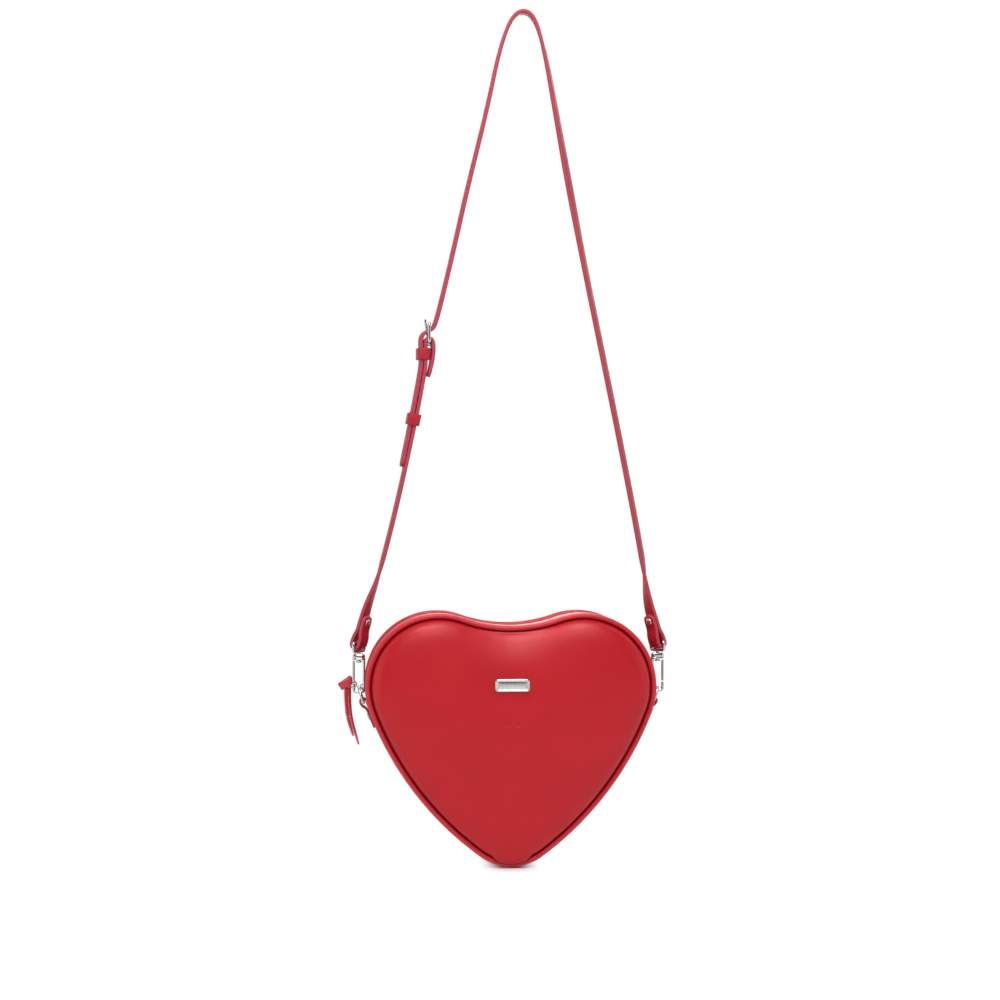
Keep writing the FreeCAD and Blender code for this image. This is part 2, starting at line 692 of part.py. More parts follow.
tab_rivets = []
rivet_holes = []
for name, side in SIDE_SHARES.items():
    tab = new_body("tab_" + name)
    eye_r = "(ring_wire / 2 + joint_gap)"
    corners = (("0", "-tab_tail"), ("0", "tab_reach"), (f"tab_t + {eye_r}", "tab_reach"),
               (f"2 * tab_t + 2 * {eye_r}", "tab_reach"), ("2 * tab_t", "tab_reach - tab_bend"),
               ("2 * tab_t", "-tab_tail"))
    pad(tab, outline(tab, "XZ_Plane", "tab_w / 2", corners), "tab_w")
    pad(tab, circles(tab, "XZ_Plane", "tab_w / 2", (
        (f"tab_t + {eye_r}", "tab_reach", f"tab_t + {eye_r}"),)), "tab_w")
    pocket(tab, circles(tab, "XZ_Plane", "tab_w", ((f"tab_t + {eye_r}", "tab_reach", eye_r),)))
    place = on_side(side, Placement(rivet_spot, tab_turn))
    out = place.Rotation.multVec(Vector(1, 0, 0))
    seat = place.Base
    hole = cylinder(seat - out * amount("overrun / 2"), out, "rivet_post_d / 2", "overrun")
    tab.Placement = place
    finish("side_tab_" + name, cut(tab, hole))
    rivet_holes.append(hole)
    under = f"({LINING} - gusset_inset + lining_t + bore_gap)"
    tab_rivets += [
        cylinder(seat - out * amount(under), out, "rivet_post_d / 2", f"{under} + 2 * tab_t"),
        cylinder(seat + out * amount("2 * tab_t"), out, "rivet_head_d / 2", "rivet_head_t"),
        cylinder(seat - out * amount(under), out * -1, "rivet_head_d / 2", "rivet_head_t"),
    ]
    half = amount("ring_inner / 2 + ring_wire / 2")
    straight = amount("ring_len") - half
    bow = doc.addObject("Part::Torus", "Bow")
    bind(bow, Radius1="ring_inner / 2 + ring_wire / 2", Radius2="ring_wire / 2")
    bow.Angle3 = 180
    bow.Placement = Placement(Vector(0, 0, straight),
                              Rotation(Vector(0, 1, 0), Vector(0, 0, 1), Vector(1, 0, 0), "XYZ"))
    along, rise = Vector(0, 1, 0), Vector(0, 0, 1)
    near, far = along * -half, along * half
    corner = amount("ring_bend")
    pieces = [bow, elbow(near, rise * -1, along, "ring_wire / 2", "ring_bend"),
              elbow(far, along, rise, "ring_wire / 2", "ring_bend"),
              cylinder(near + along * corner, along, "ring_wire / 2",
                       "ring_inner + ring_wire - 2 * ring_bend")]
    for foot in (near, far):
        pieces.append(cylinder(foot + rise * corner, rise, "ring_wire / 2",
                               "ring_len - ring_inner / 2 - ring_wire / 2 - ring_bend"))
    lean = Rotation(Vector(0, 1, 0), math.degrees(math.asin(ring_lean / amount("ring_len"))))
    finish("d_ring_" + name, fuse(pieces), on_side(side, Placement(loop_spot, lean)))
finish("tab_rivets", fuse(tab_rivets))
bottom.Placement = bag
gusset_cloth.Placement = bag
all_holes = fuse(rivet_holes)
finish("bottom_gusset", cut(bottom, all_holes))
finish("gusset_lining", cut(gusset_cloth, all_holes))

# Swivel hooks

HALF = "(hook_inner / 2)"
OUTER = "(hook_inner / 2 + hook_leg)"
COLLAR_TOP = "(hook_rise + collar_h)"
PIN_X = f"({OUTER} - knuckle_r - joint_gap / 2)"
PIN_Z = "(hook_rise + knuckle_r + joint_gap)"
for name, side in SIDE_SHARES.items():
    place = on_side(side, Placement(Vector(amount(HOOK_X), 0, claw_z), Rotation()))
    hook = new_body("hook_" + name)
    pad(hook, outline(hook, "XZ_Plane", "hook_t / 2", box_corners(
        "-" + OUTER, "-" + HALF, "0", "hook_rise + collar_h / 2")), "hook_t")
    pad(hook, outline(hook, "XZ_Plane", "collar_t / 2", box_corners(
        "-" + OUTER, OUTER, "hook_rise", COLLAR_TOP)), "collar_t")
    pad(hook, circles(hook, "YZ_Plane", "-" + OUTER, (("0", "0", "hook_t / 2"),)), f"2 * {OUTER}", False)
    pad(hook, outline(hook, "XZ_Plane", "hook_t / 2", box_corners(HALF, OUTER, "0", "nose_rise")), "hook_t")
    pocket(hook, circles(hook, "XY_Plane", "-overrun", (
        ("0", "0", "swivel_d / 2 + bore_gap"),)), reverse=True)
    pocket(hook, outline(hook, "XZ_Plane", "slot_w / 2", box_corners(
        "slot_wall", f"{OUTER} + overrun", "hook_rise - joint_gap",
        f"{PIN_Z} + knuckle_r + joint_gap")), "slot_w")
    pocket(hook, circles(hook, "XZ_Plane", "overrun", ((PIN_X, PIN_Z, "gate_pin_d / 2"),)))
    finish("hook_body_" + name, hook, place)

    gate = new_body("gate_" + name)
    pad(gate, outline(gate, "XZ_Plane", "hook_t / 2", box_corners(
        HALF, OUTER, "nose_rise + joint_gap", "hook_rise - joint_gap")), "hook_t")
    knuckle_y = "(slot_w / 2 - joint_gap / 2)"
    pad(gate, outline(gate, "XZ_Plane", knuckle_y, box_corners(
        f"{PIN_X} - knuckle_r / 2", f"{PIN_X} + knuckle_r", "hook_rise - 2 * joint_gap", PIN_Z)),
        "knuckle_t")
    pad(gate, circles(gate, "XZ_Plane", knuckle_y, ((PIN_X, PIN_Z, "knuckle_r"),)), "knuckle_t")
    pocket(gate, circles(gate, "XZ_Plane", "overrun", ((PIN_X, PIN_Z, "gate_pin_d / 2 + bore_gap"),)))
    finish("hook_gate_" + name, gate, place)

    pin_spot = Vector(amount(PIN_X), -amount("collar_t / 2"), amount(PIN_Z))
    pin = cylinder(pin_spot, Vector(0, 1, 0), "gate_pin_d / 2", "collar_t")
    finish("gate_pin_" + name, pin, place.multiply(pin.Placement))
    coil = new_body("coil_" + name)
    coil_y = f"({knuckle_y} - knuckle_t - joint_gap / 2)"
    pad(coil, circles(coil, "XZ_Plane", coil_y, (
        (PIN_X, PIN_Z, "spring_d / 2"), (PIN_X, PIN_Z, "gate_pin_d / 2"))), "spring_t")
    finish("gate_spring_" + name, coil, place)

    low = amount(f"{COLLAR_TOP} + joint_gap + eye_wire / 2")
    high = low + amount("eye_rise")
    half = amount("eye_inner / 2 + eye_wire / 2")
    loop = wire_frame([Vector(0, -half, low), Vector(0, half, low), Vector(0, half, high),
                       Vector(0, -half, high)], "eye_wire / 2", "eye_bend")
    foot = Vector(0, 0, amount("hook_rise - joint_gap - swivel_head_t"))
    post = cylinder(foot, Vector(0, 0, 1), "swivel_d / 2",
                    "swivel_head_t + collar_h + 2 * joint_gap + eye_wire / 2")
    head = cylinder(foot, Vector(0, 0, 1), "swivel_head_d / 2", "swivel_head_t")
    finish("hook_eye_" + name, fuse([loop, post, head]), place)

# Strap

thick = amount("strap_t")
fold_r = amount("eye_wire / 2 + joint_gap + strap_t / 2")
snug = thick / 2 + amount("bore_gap")


def fold(side):
    bar = on_side(side, Placement(Vector(amount(HOOK_X), 0, claw_z + eye_up), Rotation())).Base
    turn = Rotation(Vector(0, 1, 0), -side * STRAP_LEAN)
    high, low = amount("flap_len"), amount("fold_rise")
    sketch = ((-snug, high), (-snug, low), (-fold_r, fold_r), (-fold_r, -fold_r),
              (fold_r, -fold_r), (fold_r, fold_r), (snug, low), (snug, high + low))
    route = [bar + turn.multVec(Vector(side * x, 0, z)) for x, z in sketch]
    rivet = bar + turn.multVec(Vector(0, 0, amount("strap_rivet_z")))
    return bar, route, rivet, turn.multVec(Vector(1, 0, 0))


def between(start, end, table):
    return [Vector(start.x + (end.x - start.x) * x, 0, start.z + (end.z - start.z) * z) for x, z in table]


ends = {side: fold(side) for side in (LEFT, RIGHT)}
crown_z = thick / 2
crown = Vector(0, 0, crown_z)
lower_bar = Vector(-amount("buckle_x"), 0, -amount("buckle_drop"))
upper_bar = lower_bar + Vector(0, 0, amount("buckle_span"))
span = amount("buckle_span")
bar_fold = amount("buckle_wire / 2 + joint_gap + strap_t / 2")
bend = lower_bar + Vector(-bar_fold, 0, -amount("tail_bend"))
tail_shift = Vector(-amount("strap_t + tail_gap"), 0, 0)
left_leg = between(lower_bar, ends[LEFT][0], LEFT_LEG_SHARES)
main_way = (left_leg[0] - bend).normalize()
tail_end = bend + tail_shift + main_way * (amount("tail_len") - amount("tail_bend"))
flat = Vector(amount("crown_flat") / 2, 0, 0)

long_route = list(ends[RIGHT][1])
long_route += between(crown, ends[RIGHT][0], RIGHT_LEG_SHARES + RIGHT_TOP_SHARES)
long_route += [crown + flat, crown - flat]
long_route += between(crown, upper_bar, LEFT_TOP_SHARES)
long_route += [lower_bar + Vector(x * span, 0, z * span) for x, z in BUCKLE_PASS_SHARES]
long_route += [lower_bar + Vector(-bar_fold, 0, -span / 2) + tail_shift, bend + tail_shift, tail_end]
prong_away = amount("buckle_wire / 2 + prong_d / 2 + joint_gap")
prong_way = upper_bar + Vector(-prong_away, 0, 0) - lower_bar
holes = []
for angle in PRONG_TURNS:
    turned_way = Rotation(Vector(0, 1, 0), -angle).multVec(prong_way)
    holes.append(drill(lower_bar + turned_way / 2, turned_way, amount("prong_room")))
across_tail = Vector(main_way.z, 0, -main_way.x)
for step in range(PUNCH_COUNT):
    spot = tail_end - main_way * amount(f"punch_end + punch_step * {step}")
    holes.append(drill(spot, across_tail, amount("punch_d")))
for side in (LEFT, RIGHT):
    holes.append(drill(ends[side][2], ends[side][3], amount("rivet_post_d")))
strap_long = band(long_route, thick, amount("strap_w"), 0).cut(holes)
solid("strap_long", strap_long)

short_route = list(ends[LEFT][1]) + left_leg[::-1] + [bend]
flap_end = bend + Vector(thick + amount("bore_gap"), 0, 0) + main_way * amount("buckle_flap - tail_bend")
short_route += [lower_bar + Vector(-bar_fold, 0, bar_fold), lower_bar + Vector(bar_fold, 0, bar_fold),
                lower_bar + Vector(bar_fold, 0, -amount("fixed_keeper_drop + keeper_h + keeper_gap")),
                flap_end]
slot_half = amount("prong_d / 2 + joint_gap")
slot_low = amount("buckle_wire / 2 + prong_d / 2 + 2 * joint_gap")
prong_slot = Part.makeBox(span, 2 * slot_half, span, lower_bar - Vector(span / 2, slot_half, slot_low))
rivet_bore = drill(ends[LEFT][2], ends[LEFT][3], amount("rivet_post_d"))
solid("strap_short", band(short_route, thick, amount("strap_w"), 0).cut([prong_slot, rivet_bore]))

rivets = []
for side in (LEFT, RIGHT):
    spot, way = ends[side][2], ends[side][3]
    half_stack = way * (thick + amount("bore_gap"))
    rivets.append(cylinder(spot - half_stack, way, "rivet_post_d / 2", "2 * strap_t + 2 * bore_gap"))
    rivets.append(cylinder(spot + half_stack, way, "strap_rivet_d / 2", "rivet_head_t"))
    rivets.append(cylinder(spot - half_stack, way * -1, "strap_rivet_d / 2", "rivet_head_t"))
finish("strap_rivets", fuse(rivets))

# Buckle and keepers

reach = Vector(0, amount("buckle_inner / 2 + buckle_wire / 2"), 0)
frame = wire_frame([lower_bar - reach, lower_bar + reach, upper_bar + reach, upper_bar - reach],
                   "buckle_wire / 2", "buckle_bend")
finish("buckle_frame", frame)
prong_turn = Rotation(Vector(0, 0, 1), prong_way)
prong_place = Placement(lower_bar, prong_turn)
side_on = Vector(0, -amount("prong_d / 2 + bore_gap"), 0)
collar = cylinder(side_on, Vector(0, 1, 0), "buckle_wire / 2 + joint_gap + prong_d / 2",
                  "prong_d + 2 * bore_gap")
rod = cylinder(Vector(), Vector(0, 0, 1), "prong_d / 2", "buckle_span + prong_over")
bore = cylinder(side_on * 2, Vector(0, 1, 0), "buckle_wire / 2 + joint_gap", "2 * prong_d")
finish("buckle_prong", cut(fuse([collar, rod]), bore), prong_place)


def keeper(label, middle, way, stack):
    body = new_body(label)
    half_x = f"({stack} / 2 + keeper_gap)"
    half_y = "(strap_w / 2 + keeper_gap)"
    rim_x = f"({half_x} + keeper_t)"
    rim_y = f"({half_y} + keeper_t)"
    pad(body, outline(body, "XY_Plane", "-keeper_h / 2", box_corners(
        "-" + rim_x, rim_x, "-" + rim_y, rim_y)), "keeper_h", False)
    pocket(body, outline(body, "XY_Plane", "-keeper_h", box_corners(
        "-" + half_x, half_x, "-" + half_y, half_y)), reverse=True)
    finish(label, body, Placement(middle, Rotation(Vector(0, 0, 1), way)))


stack = "(2 * strap_t + tail_gap)"
middle = lower_bar + Vector(-bar_fold, 0, -amount("fixed_keeper_drop + keeper_h / 2")) + tail_shift / 2
keeper("fixed_keeper", middle, Vector(0, 0, 1), stack)
middle = bend + tail_shift / 2 + main_way * amount("slide_keeper_drop")
keeper("sliding_keeper", middle, main_way * -1, stack)

# Checks and export

doc.recompute()
os.makedirs("parts", exist_ok=True)
broken = [obj.Label for obj in doc.Objects if "Invalid" in obj.State or "Error" in obj.State]
if broken:
    raise RuntimeError("could not be built: " + ", ".join(broken))
for label, obj in finished.items():
    shape = obj.Shape
    if shape.isNull() or not shape.isValid():
        raise RuntimeError(f"{label} has no valid shape")
    shape.exportStep(os.path.join("parts", label + ".step"))
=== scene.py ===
import math

import bmesh
import bpy
import numpy as np
from mathutils import Matrix, Vector, noise


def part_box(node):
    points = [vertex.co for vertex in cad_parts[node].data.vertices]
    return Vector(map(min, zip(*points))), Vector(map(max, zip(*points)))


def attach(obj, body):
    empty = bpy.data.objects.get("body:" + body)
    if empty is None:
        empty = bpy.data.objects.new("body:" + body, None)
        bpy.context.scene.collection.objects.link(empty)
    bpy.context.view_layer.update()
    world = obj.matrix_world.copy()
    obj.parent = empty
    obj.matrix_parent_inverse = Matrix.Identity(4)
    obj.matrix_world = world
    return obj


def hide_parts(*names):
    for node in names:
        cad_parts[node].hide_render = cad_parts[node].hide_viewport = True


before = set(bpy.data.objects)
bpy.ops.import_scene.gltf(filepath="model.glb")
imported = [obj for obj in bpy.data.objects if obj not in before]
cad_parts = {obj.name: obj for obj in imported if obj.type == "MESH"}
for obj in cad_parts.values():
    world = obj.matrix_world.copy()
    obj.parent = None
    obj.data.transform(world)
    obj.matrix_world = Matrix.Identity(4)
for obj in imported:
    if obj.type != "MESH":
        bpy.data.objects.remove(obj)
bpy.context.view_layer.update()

# A red leather heart purse on its strap. Lengths here are millimetres and become metres in each mesh.
# The origin lies under the crown of the strap. Z points up and the front faces -Y.

MM = 0.001
X_WAY, Y_WAY, Z_WAY = np.eye(3)
WHITE = (1.0, 1.0, 1.0, 1.0)
LEFT, RIGHT = -1, 1
FRONT, BACK = -1, 1
SIDES = (("left", LEFT), ("right", RIGHT))
FACES = (("front", FRONT), ("back", BACK))

HEART_WIDTH, HEART_HEIGHT = 201.6, 175.0
LOBE_R, SIDE_R, TIP_R, DIP_DEPTH = 51.0, 220.0, 36.0, 8.5
LOBE_X, LOBE_Z = HEART_WIDTH / 2 - LOBE_R, HEART_HEIGHT - LOBE_R
SEAM_HALF, PIPING_R = 25.0, 2.0
GUSSET_INSET, GUSSET_T = 1.4, 1.4
BAND_EDGE, BAND_TURN, BAND_FLAT = 23.4, 22.6, 21.0
SEAM_Z, CHAIN_Z = LOBE_Z - 14.0, 116.2
ZIP_Y, ZIP_SLOT = 12.0, 9.0
BADGE_Z = HEART_HEIGHT - 49.0
BAG = np.array((-10.3, 0.0, -593.528))
HOOK_X, CLAW_Z = 104.8, 119.528


# Shaders

def rgb(red, green, blue):
    """A colour as it is seen, from 0 to 255, turned into the shader's own scale."""
    out = []
    for part in (red, green, blue):
        share = part / 255
        out.append(share / 12.92 if share < 0.04045 else ((share + 0.055) / 1.055) ** 2.4)
    return (*out, 1.0)


def add_node(tree, kind, *given, out=0, **named):
    """One output of a new node. Names in small letters are settings, and those with capitals inputs."""
    made = tree.nodes.new(kind)
    inputs = dict(enumerate(given))
    for key, value in named.items():
        if key.islower():
            setattr(made, key, value)
        else:
            inputs[key.replace("_", " ")] = value
    for key, value in inputs.items():
        value = value.socket if isinstance(value, Value) else value
        if isinstance(value, bpy.types.NodeSocket):
            tree.links.new(value, made.inputs[key])
        elif value is not None:
            made.inputs[key].default_value = value
    return made.outputs[out]


class Value:
    """A number that changes over a surface, and takes part in plain arithmetic."""

    def __init__(self, finish, socket):
        self.finish, self.socket = finish, socket

    def maths(self, operation, *values):
        return self.finish.node("ShaderNodeMath", *values, operation=operation)

    def __add__(self, other):
        return self.maths("ADD", self, other)

    def __sub__(self, other):
        return self.maths("SUBTRACT", self, other)

    def __rsub__(self, other):
        return self.maths("SUBTRACT", other, self)

    def __mul__(self, other):
        return self.maths("MULTIPLY", self, other)

    __radd__, __rmul__ = __add__, __mul__

    def step(self, low, high):
        """0 below low and 1 above high, with a soft change between."""
        return self.finish.node("ShaderNodeMapRange", Value=self, From_Min=low, From_Max=high,
                                interpolation_type="SMOOTHSTEP")


class Finish:
    """A material with one Principled shader."""

    def __init__(self, name, **plain):
        self.material = bpy.data.materials.new(name)
        self.material.use_nodes = True
        self.tree = self.material.node_tree
        self.shader = self.tree.nodes["Principled BSDF"]
        for socket, number in plain.items():
            self.shader.inputs[socket.replace("_", " ")].default_value = number

    def node(self, kind, *given, **named):
        return Value(self, add_node(self.tree, kind, *given, **named))

    def place(self):
        return self.node("ShaderNodeTexCoord", out="Object")

    def stretched(self, scale):
        return self.node("ShaderNodeMapping", Vector=self.place(), Scale=scale)

    def noise(self, scale, detail=3.0, vector=None):
        return self.node("ShaderNodeTexNoise", Vector=vector or self.place(), Scale=scale, Detail=detail)

    def cells(self, scale):
        """How far a place is from the border of its cell."""
        return self.node("ShaderNodeTexVoronoi", Vector=self.place(), Scale=scale,
                         feature="DISTANCE_TO_EDGE", out="Distance")

    def wave(self, axis, scale):
        return self.node("ShaderNodeTexWave", Vector=self.place(), Scale=scale, Distortion=0.6, Detail=1.0,
                         bands_direction=axis, out="Fac")

    def attribute(self, name):
        return self.node("ShaderNodeAttribute", attribute_name=name, out="Fac")

    def mix(self, share, first, second):
        """A blend of two colours. The node's colour sockets come after its five others."""
        return self.node("ShaderNodeMix", share, *[None] * 5, first, second, data_type="RGBA", out=2)

    def feed(self, **sockets):
        for socket, value in sockets.items():
            self.tree.links.new(value.socket, self.shader.inputs[socket.replace("_", " ")])
        return self

    def bump(self, height, strength, depth):
        return self.feed(Normal=self.node("ShaderNodeBump", Strength=strength, Distance=depth, Height=height))


# The second red is painted shade, laid into the seams and grooves.
CREASE_RED, SEAM_SHADE_RED = rgb(120, 12, 22), rgb(104, 8, 18)


def leather(name, deep, fair, edge, shine, grain, relief):
    """Smooth dyed leather: cloudy colour, fine creases between flat grains, pale edge paint on cut edges, a
    painted highlight along the piping and painted shade in the seams.
    """
    made = Finish(name, Specular_IOR_Level=0.88, Specular_Tint=(1.0, 0.38, 0.40, 1.0), Coat_Roughness=0.30)
    cloud = made.noise(26.0).step(0.25, 0.75)
    grains = made.cells(grain)
    crease = 1 - grains.step(0.0, 0.11)
    speck = made.noise(grain * 0.6)
    edge_paint_and_painted_light = made.attribute("edge")
    colour = made.mix(cloud, rgb(*deep), rgb(*fair))
    colour = made.mix(crease * 0.16, colour, CREASE_RED)
    # Pale edge colour: edge paint on cut edges, and a painted highlight where the piping carries positive
    # marks.
    colour = made.mix(edge_paint_and_painted_light.step(0.0, 1.0) * 0.85, colour, rgb(*edge))
    # Painted shade: negative marks darken seams and grooves toward a deep red.
    colour = made.mix((edge_paint_and_painted_light * -1.0).step(0.0, 1.0) * 0.7, colour, SEAM_SHADE_RED)
    made.feed(Base_Color=colour, Coat_Weight=0.06 - cloud * 0.02,
              Roughness=speck * 0.14 + cloud * 0.03 + shine)
    return made.bump(grains.step(0.0, 0.16) * 0.7 + speck * 0.5, relief, 0.00022).material


def metal(name, colour, shine, brush):
    """Polished plate with faint hairlines and handling marks."""
    made = Finish(name, Metallic=1.0, Specular_IOR_Level=0.5)
    hair = made.noise(260.0, 4.0, made.stretched(brush))
    smear = made.noise(120.0).step(0.45, 0.75)
    dull = [0.86 * part for part in colour]
    made.feed(Base_Color=made.mix(smear * 0.35, (*colour, 1.0), (*dull, 1.0)),
              Roughness=hair * 0.10 + smear * 0.07 + shine)
    return made.bump(hair, 0.05, 0.00004).material


def cloth(name, deep, fair, pitch):
    """Plain woven cloth: warp and weft as two crossing waves."""
    made = Finish(name, Specular_IOR_Level=0.25, Sheen_Weight=0.25)
    scale = 0.31 / (pitch * MM)
    weave = made.wave("X", scale) * made.wave("Z", scale)
    patch = made.noise(60.0).step(0.3, 0.7)
    made.feed(Base_Color=made.mix(patch * 0.6 + weave * 0.4, rgb(*deep), rgb(*fair)),
              Roughness=0.86 - weave * 0.1)
    return made.bump(weave, 0.35, 0.0002).material


RED_PANEL = leather("red_panel_leather", (178, 9, 23), (185, 13, 27), (210, 62, 70),
                    shine=0.32, grain=1500.0, relief=0.14)
# Its pale colour shows only as the piping's painted highlight.
RED_PIPING = leather("red_piping_leather", (190, 30, 44), (202, 42, 54), (212, 84, 92),
                     shine=0.34, grain=1700.0, relief=0.16)
RED_GUSSET = leather("red_gusset_leather", (188, 28, 40), (200, 38, 50), (212, 84, 92),
                     shine=0.44, grain=1500.0, relief=0.18)
RED_STRAP = leather("red_strap_leather", (160, 15, 35), (174, 25, 45), (170, 64, 80),
                    shine=0.44, grain=1900.0, relief=0.18)
RED_THONG = leather("red_thong_leather", (184, 44, 62), (202, 66, 82), (218, 124, 134),
                    shine=0.42, grain=2200.0, relief=0.20)
NICKEL = metal("polished_nickel", (0.57, 0.57, 0.565), shine=0.12, brush=(1.0, 1.0, 9.0))
BADGE_METAL = metal("satin_badge_metal", (0.70, 0.70, 0.69), shine=0.16, brush=(14.0, 1.0, 1.0))
ZIP_METAL = metal("zip_metal", (0.70, 0.69, 0.66), shine=0.22, brush=(1.0, 6.0, 1.0))
TAPE_CLOTH = cloth("zip_tape_cloth", (92, 14, 22), (128, 24, 34), pitch=0.55)
LINING_CLOTH = cloth("lining_cloth", (66, 14, 20), (92, 24, 30), pitch=0.45)
THREAD = cloth("red_thread", (176, 28, 40), (208, 60, 70), pitch=0.2)


# Meshes

def piece(name, rows, finish, closed_u=False, closed_v=False, edge=None, caps=(False, False), flip=False):
    """A mesh from rows of points in millimetres. Rows may close on themselves, and so may the run of rows."""
    grid = np.array(rows, float)
    count, width = grid.shape[:2]
    faces = []
    for i in range(count if closed_v else count - 1):
        for j in range(width if closed_u else width - 1):
            after, beside = (i + 1) % count, (j + 1) % width
            faces.append((i * width + j, i * width + beside, after * width + beside, after * width + j))
    if caps[0]:
        faces += [face[::-1] for face in lid(0, width)]
    if caps[1]:
        faces += lid((count - 1) * width, width)
    if flip:
        faces = [face[::-1] for face in faces]
    return shaped(name, grid.reshape(-1, 3), faces, finish, edge)


def lid(first, width):
    """Closes an even ring of points with a strip of faces across it, pairing each point with its mirror."""
    half, last = width // 2, first + width
    strip = [(first + j, first + j + 1, last - j - 1, last - j) for j in range(1, half - 1)]
    return [(first, first + 1, last - 1), *strip, (first + half - 1, first + half, first + half + 1)]


def shaped(name, points, faces, finish, edge=None):
    mesh = bpy.data.meshes.new(name)
    mesh.from_pydata([tuple(p) for p in np.array(points, float) * MM], [], faces)
    mesh.validate()
    if edge is not None:
        mark = mesh.attributes.new("edge", "FLOAT", "POINT")
        mark.data.foreach_set("value", np.array(edge, np.float32).ravel())
    return as_object(name, mesh, finish)


def as_object(name, mesh, finish):
    mesh.materials.clear()
    mesh.materials.append(finish)
    mesh.shade_smooth()
    return linked(bpy.data.objects.new(name, mesh))


def linked(obj):
    bpy.context.scene.collection.objects.link(obj)
    return obj


def outward(obj):
    """Turns every face of a closed mesh to the outside."""
    work = bmesh.new()
    work.from_mesh(obj.data)
    bmesh.ops.remove_doubles(work, verts=work.verts, dist=1e-6)
    bmesh.ops.recalc_face_normals(work, faces=work.faces)
    work.to_mesh(obj.data)
    work.free()
    return obj


def solid(name, rings, finish, closed=False, edge=None):
    """A closed form from rings of points, with a lid at both ends unless the run of rings closes."""
    caps = (not closed, not closed)
    return outward(piece(name, rings, finish, closed_u=True, closed_v=closed, edge=edge, caps=caps))


def smoother(obj):
    modifier = obj.modifiers.new("Smooth", "SUBSURF")
    modifier.levels = modifier.render_levels = 1
    return obj


def thicken(obj, wall):
    modifier = obj.modifiers.new("Wall", "SOLIDIFY")
    modifier.thickness = wall * MM
    modifier.offset = -1.0
    return obj


def cut_area(sheet):
    """The flat area of a sheet before it gets its thickness, in square metres."""
    return sum(face.area for face in sheet.data.polygons)


def result_of(obj):
    """A new mesh with what an object's modifiers make."""
    return bpy.data.meshes.new_from_object(obj.evaluated_get(bpy.context.evaluated_depsgraph_get()))


def joined(name, parts):
    """One piece from several of one finish, with what their modifiers make."""
    points, faces, marks = [], [], []
    finish = parts[0].data.materials[0]
    for part in parts:
        mesh = result_of(part)
        start = len(points)
        points += [v.co / MM for v in mesh.vertices]
        faces += [[start + i for i in face.vertices] for face in mesh.polygons]
        mark = mesh.attributes.get("edge")
        marks += [d.value for d in mark.data] if mark else [0.0] * len(mesh.vertices)
        bpy.data.meshes.remove(mesh)
        bpy.data.objects.remove(part)
    return shaped(name, points, faces, finish, marks)


def settle(obj, body, slot, *nodes):
    """Rides a finished piece on its body, in place of its solids."""
    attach(obj, body)
    if nodes:
        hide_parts(*nodes)
    return obj


# Lines and sections

def unit(vector):
    return np.array(vector, float) / np.linalg.norm(vector)


def square_to(way, vector):
    """The direction of what is left of a vector when its share along a way is taken off."""
    return unit(vector - way * np.dot(vector, way))


def run_lengths(line):
    return np.concatenate(([0.0], np.cumsum(np.linalg.norm(np.diff(line, axis=0), axis=1))))


def even(line, step):
    """Evenly spaced places along a line."""
    runs = run_lengths(line)
    marks = np.linspace(0, runs[-1], max(2, int(round(runs[-1] / step)) + 1))
    return np.stack([np.interp(marks, runs, line[:, k]) for k in range(3)], axis=1)


def even_loop(loop, step):
    return even(np.vstack([loop, loop[0]]), step)[:-1]


def bow(start, middle, stop, shares):
    """Places on the curve between two points that a third one pulls to itself."""
    return [start * (1 - t) ** 2 + middle * 2 * t * (1 - t) + stop * t ** 2 for t in shares]


def smooth_line(points, step):
    """Evenly spaced places on the smooth curve that the points steer."""
    spots = np.array(points, float)
    line = [spots[0]]
    for i in range(1, len(spots) - 1):
        start = spots[0] if i == 1 else (spots[i - 1] + spots[i]) / 2
        stop = spots[-1] if i == len(spots) - 2 else (spots[i] + spots[i + 1]) / 2
        line += bow(start, spots[i], stop, np.linspace(0, 1, 33)[1:])
    return even(np.array(line), step)


def ways(line, closed=False):
    """The direction of a line at each of its places."""
    if closed:
        along = np.roll(line, -1, axis=0) - np.roll(line, 1, axis=0)
    else:
        along = np.gradient(line, axis=0)
    return along / np.linalg.norm(along, axis=1)[:, None]


def circle(count):
    """The cosine and sine of even turns."""
    return [(math.cos(t), math.sin(t)) for t in np.linspace(0, 2 * math.pi, count, endpoint=False)]


def soft_power(number, power):
    return math.copysign(abs(number) ** power, number)


def soft_box(half_y, half_z, power, waist=0.0):
    """A plate's outline between an ellipse and a box, wider at one end by the waist."""
    shape = []
    for c, s in circle(40):
        y, z = half_y * soft_power(c, 2 / power), half_z * soft_power(s, 2 / power)
        shape.append((y * (1 + waist * z / half_z), z))
    return shape


def rounded_rectangle(half_a, half_b, corner, turns):
    """Points round a rectangle whose corners are quarter circles."""
    out = []
    for k, (sign_a, sign_b) in enumerate(((1, 1), (-1, 1), (-1, -1), (1, -1))):
        for t in range(turns + 1):
            angle = math.pi / 2 * (k + t / turns)
            out.append((sign_a * (half_a - corner) + corner * math.cos(angle),
                        sign_b * (half_b - corner) + corner * math.sin(angle)))
    return out


def band(name, line, across, width, thick, finish, corner, closed=False, round_ends=(0.0, 0.0)):
    """A leather strip along a line. Across is its width direction, one for all places or one for each."""
    across = np.broadcast_to(across, line.shape)
    along, runs = ways(line, closed), run_lengths(line)
    section = rounded_rectangle(width / 2, thick / 2, corner, 3)
    mark = [max(0.0, 1 + (abs(a) - width / 2) / corner) for a, _ in section]
    rows = []
    for i, spot in enumerate(line):
        side = square_to(along[i], across[i])
        out = np.cross(side, along[i])
        share = 1.0
        for gap, reach in ((runs[i], round_ends[0]), (runs[-1] - runs[i], round_ends[1])):
            if gap < reach:
                share = min(share, math.sqrt(1 - (1 - gap / reach) ** 2) * 0.94 + 0.06)
        rows.append([spot + side * a * share + out * b for a, b in section])
    return solid(name, rows, finish, closed, [mark] * len(line))


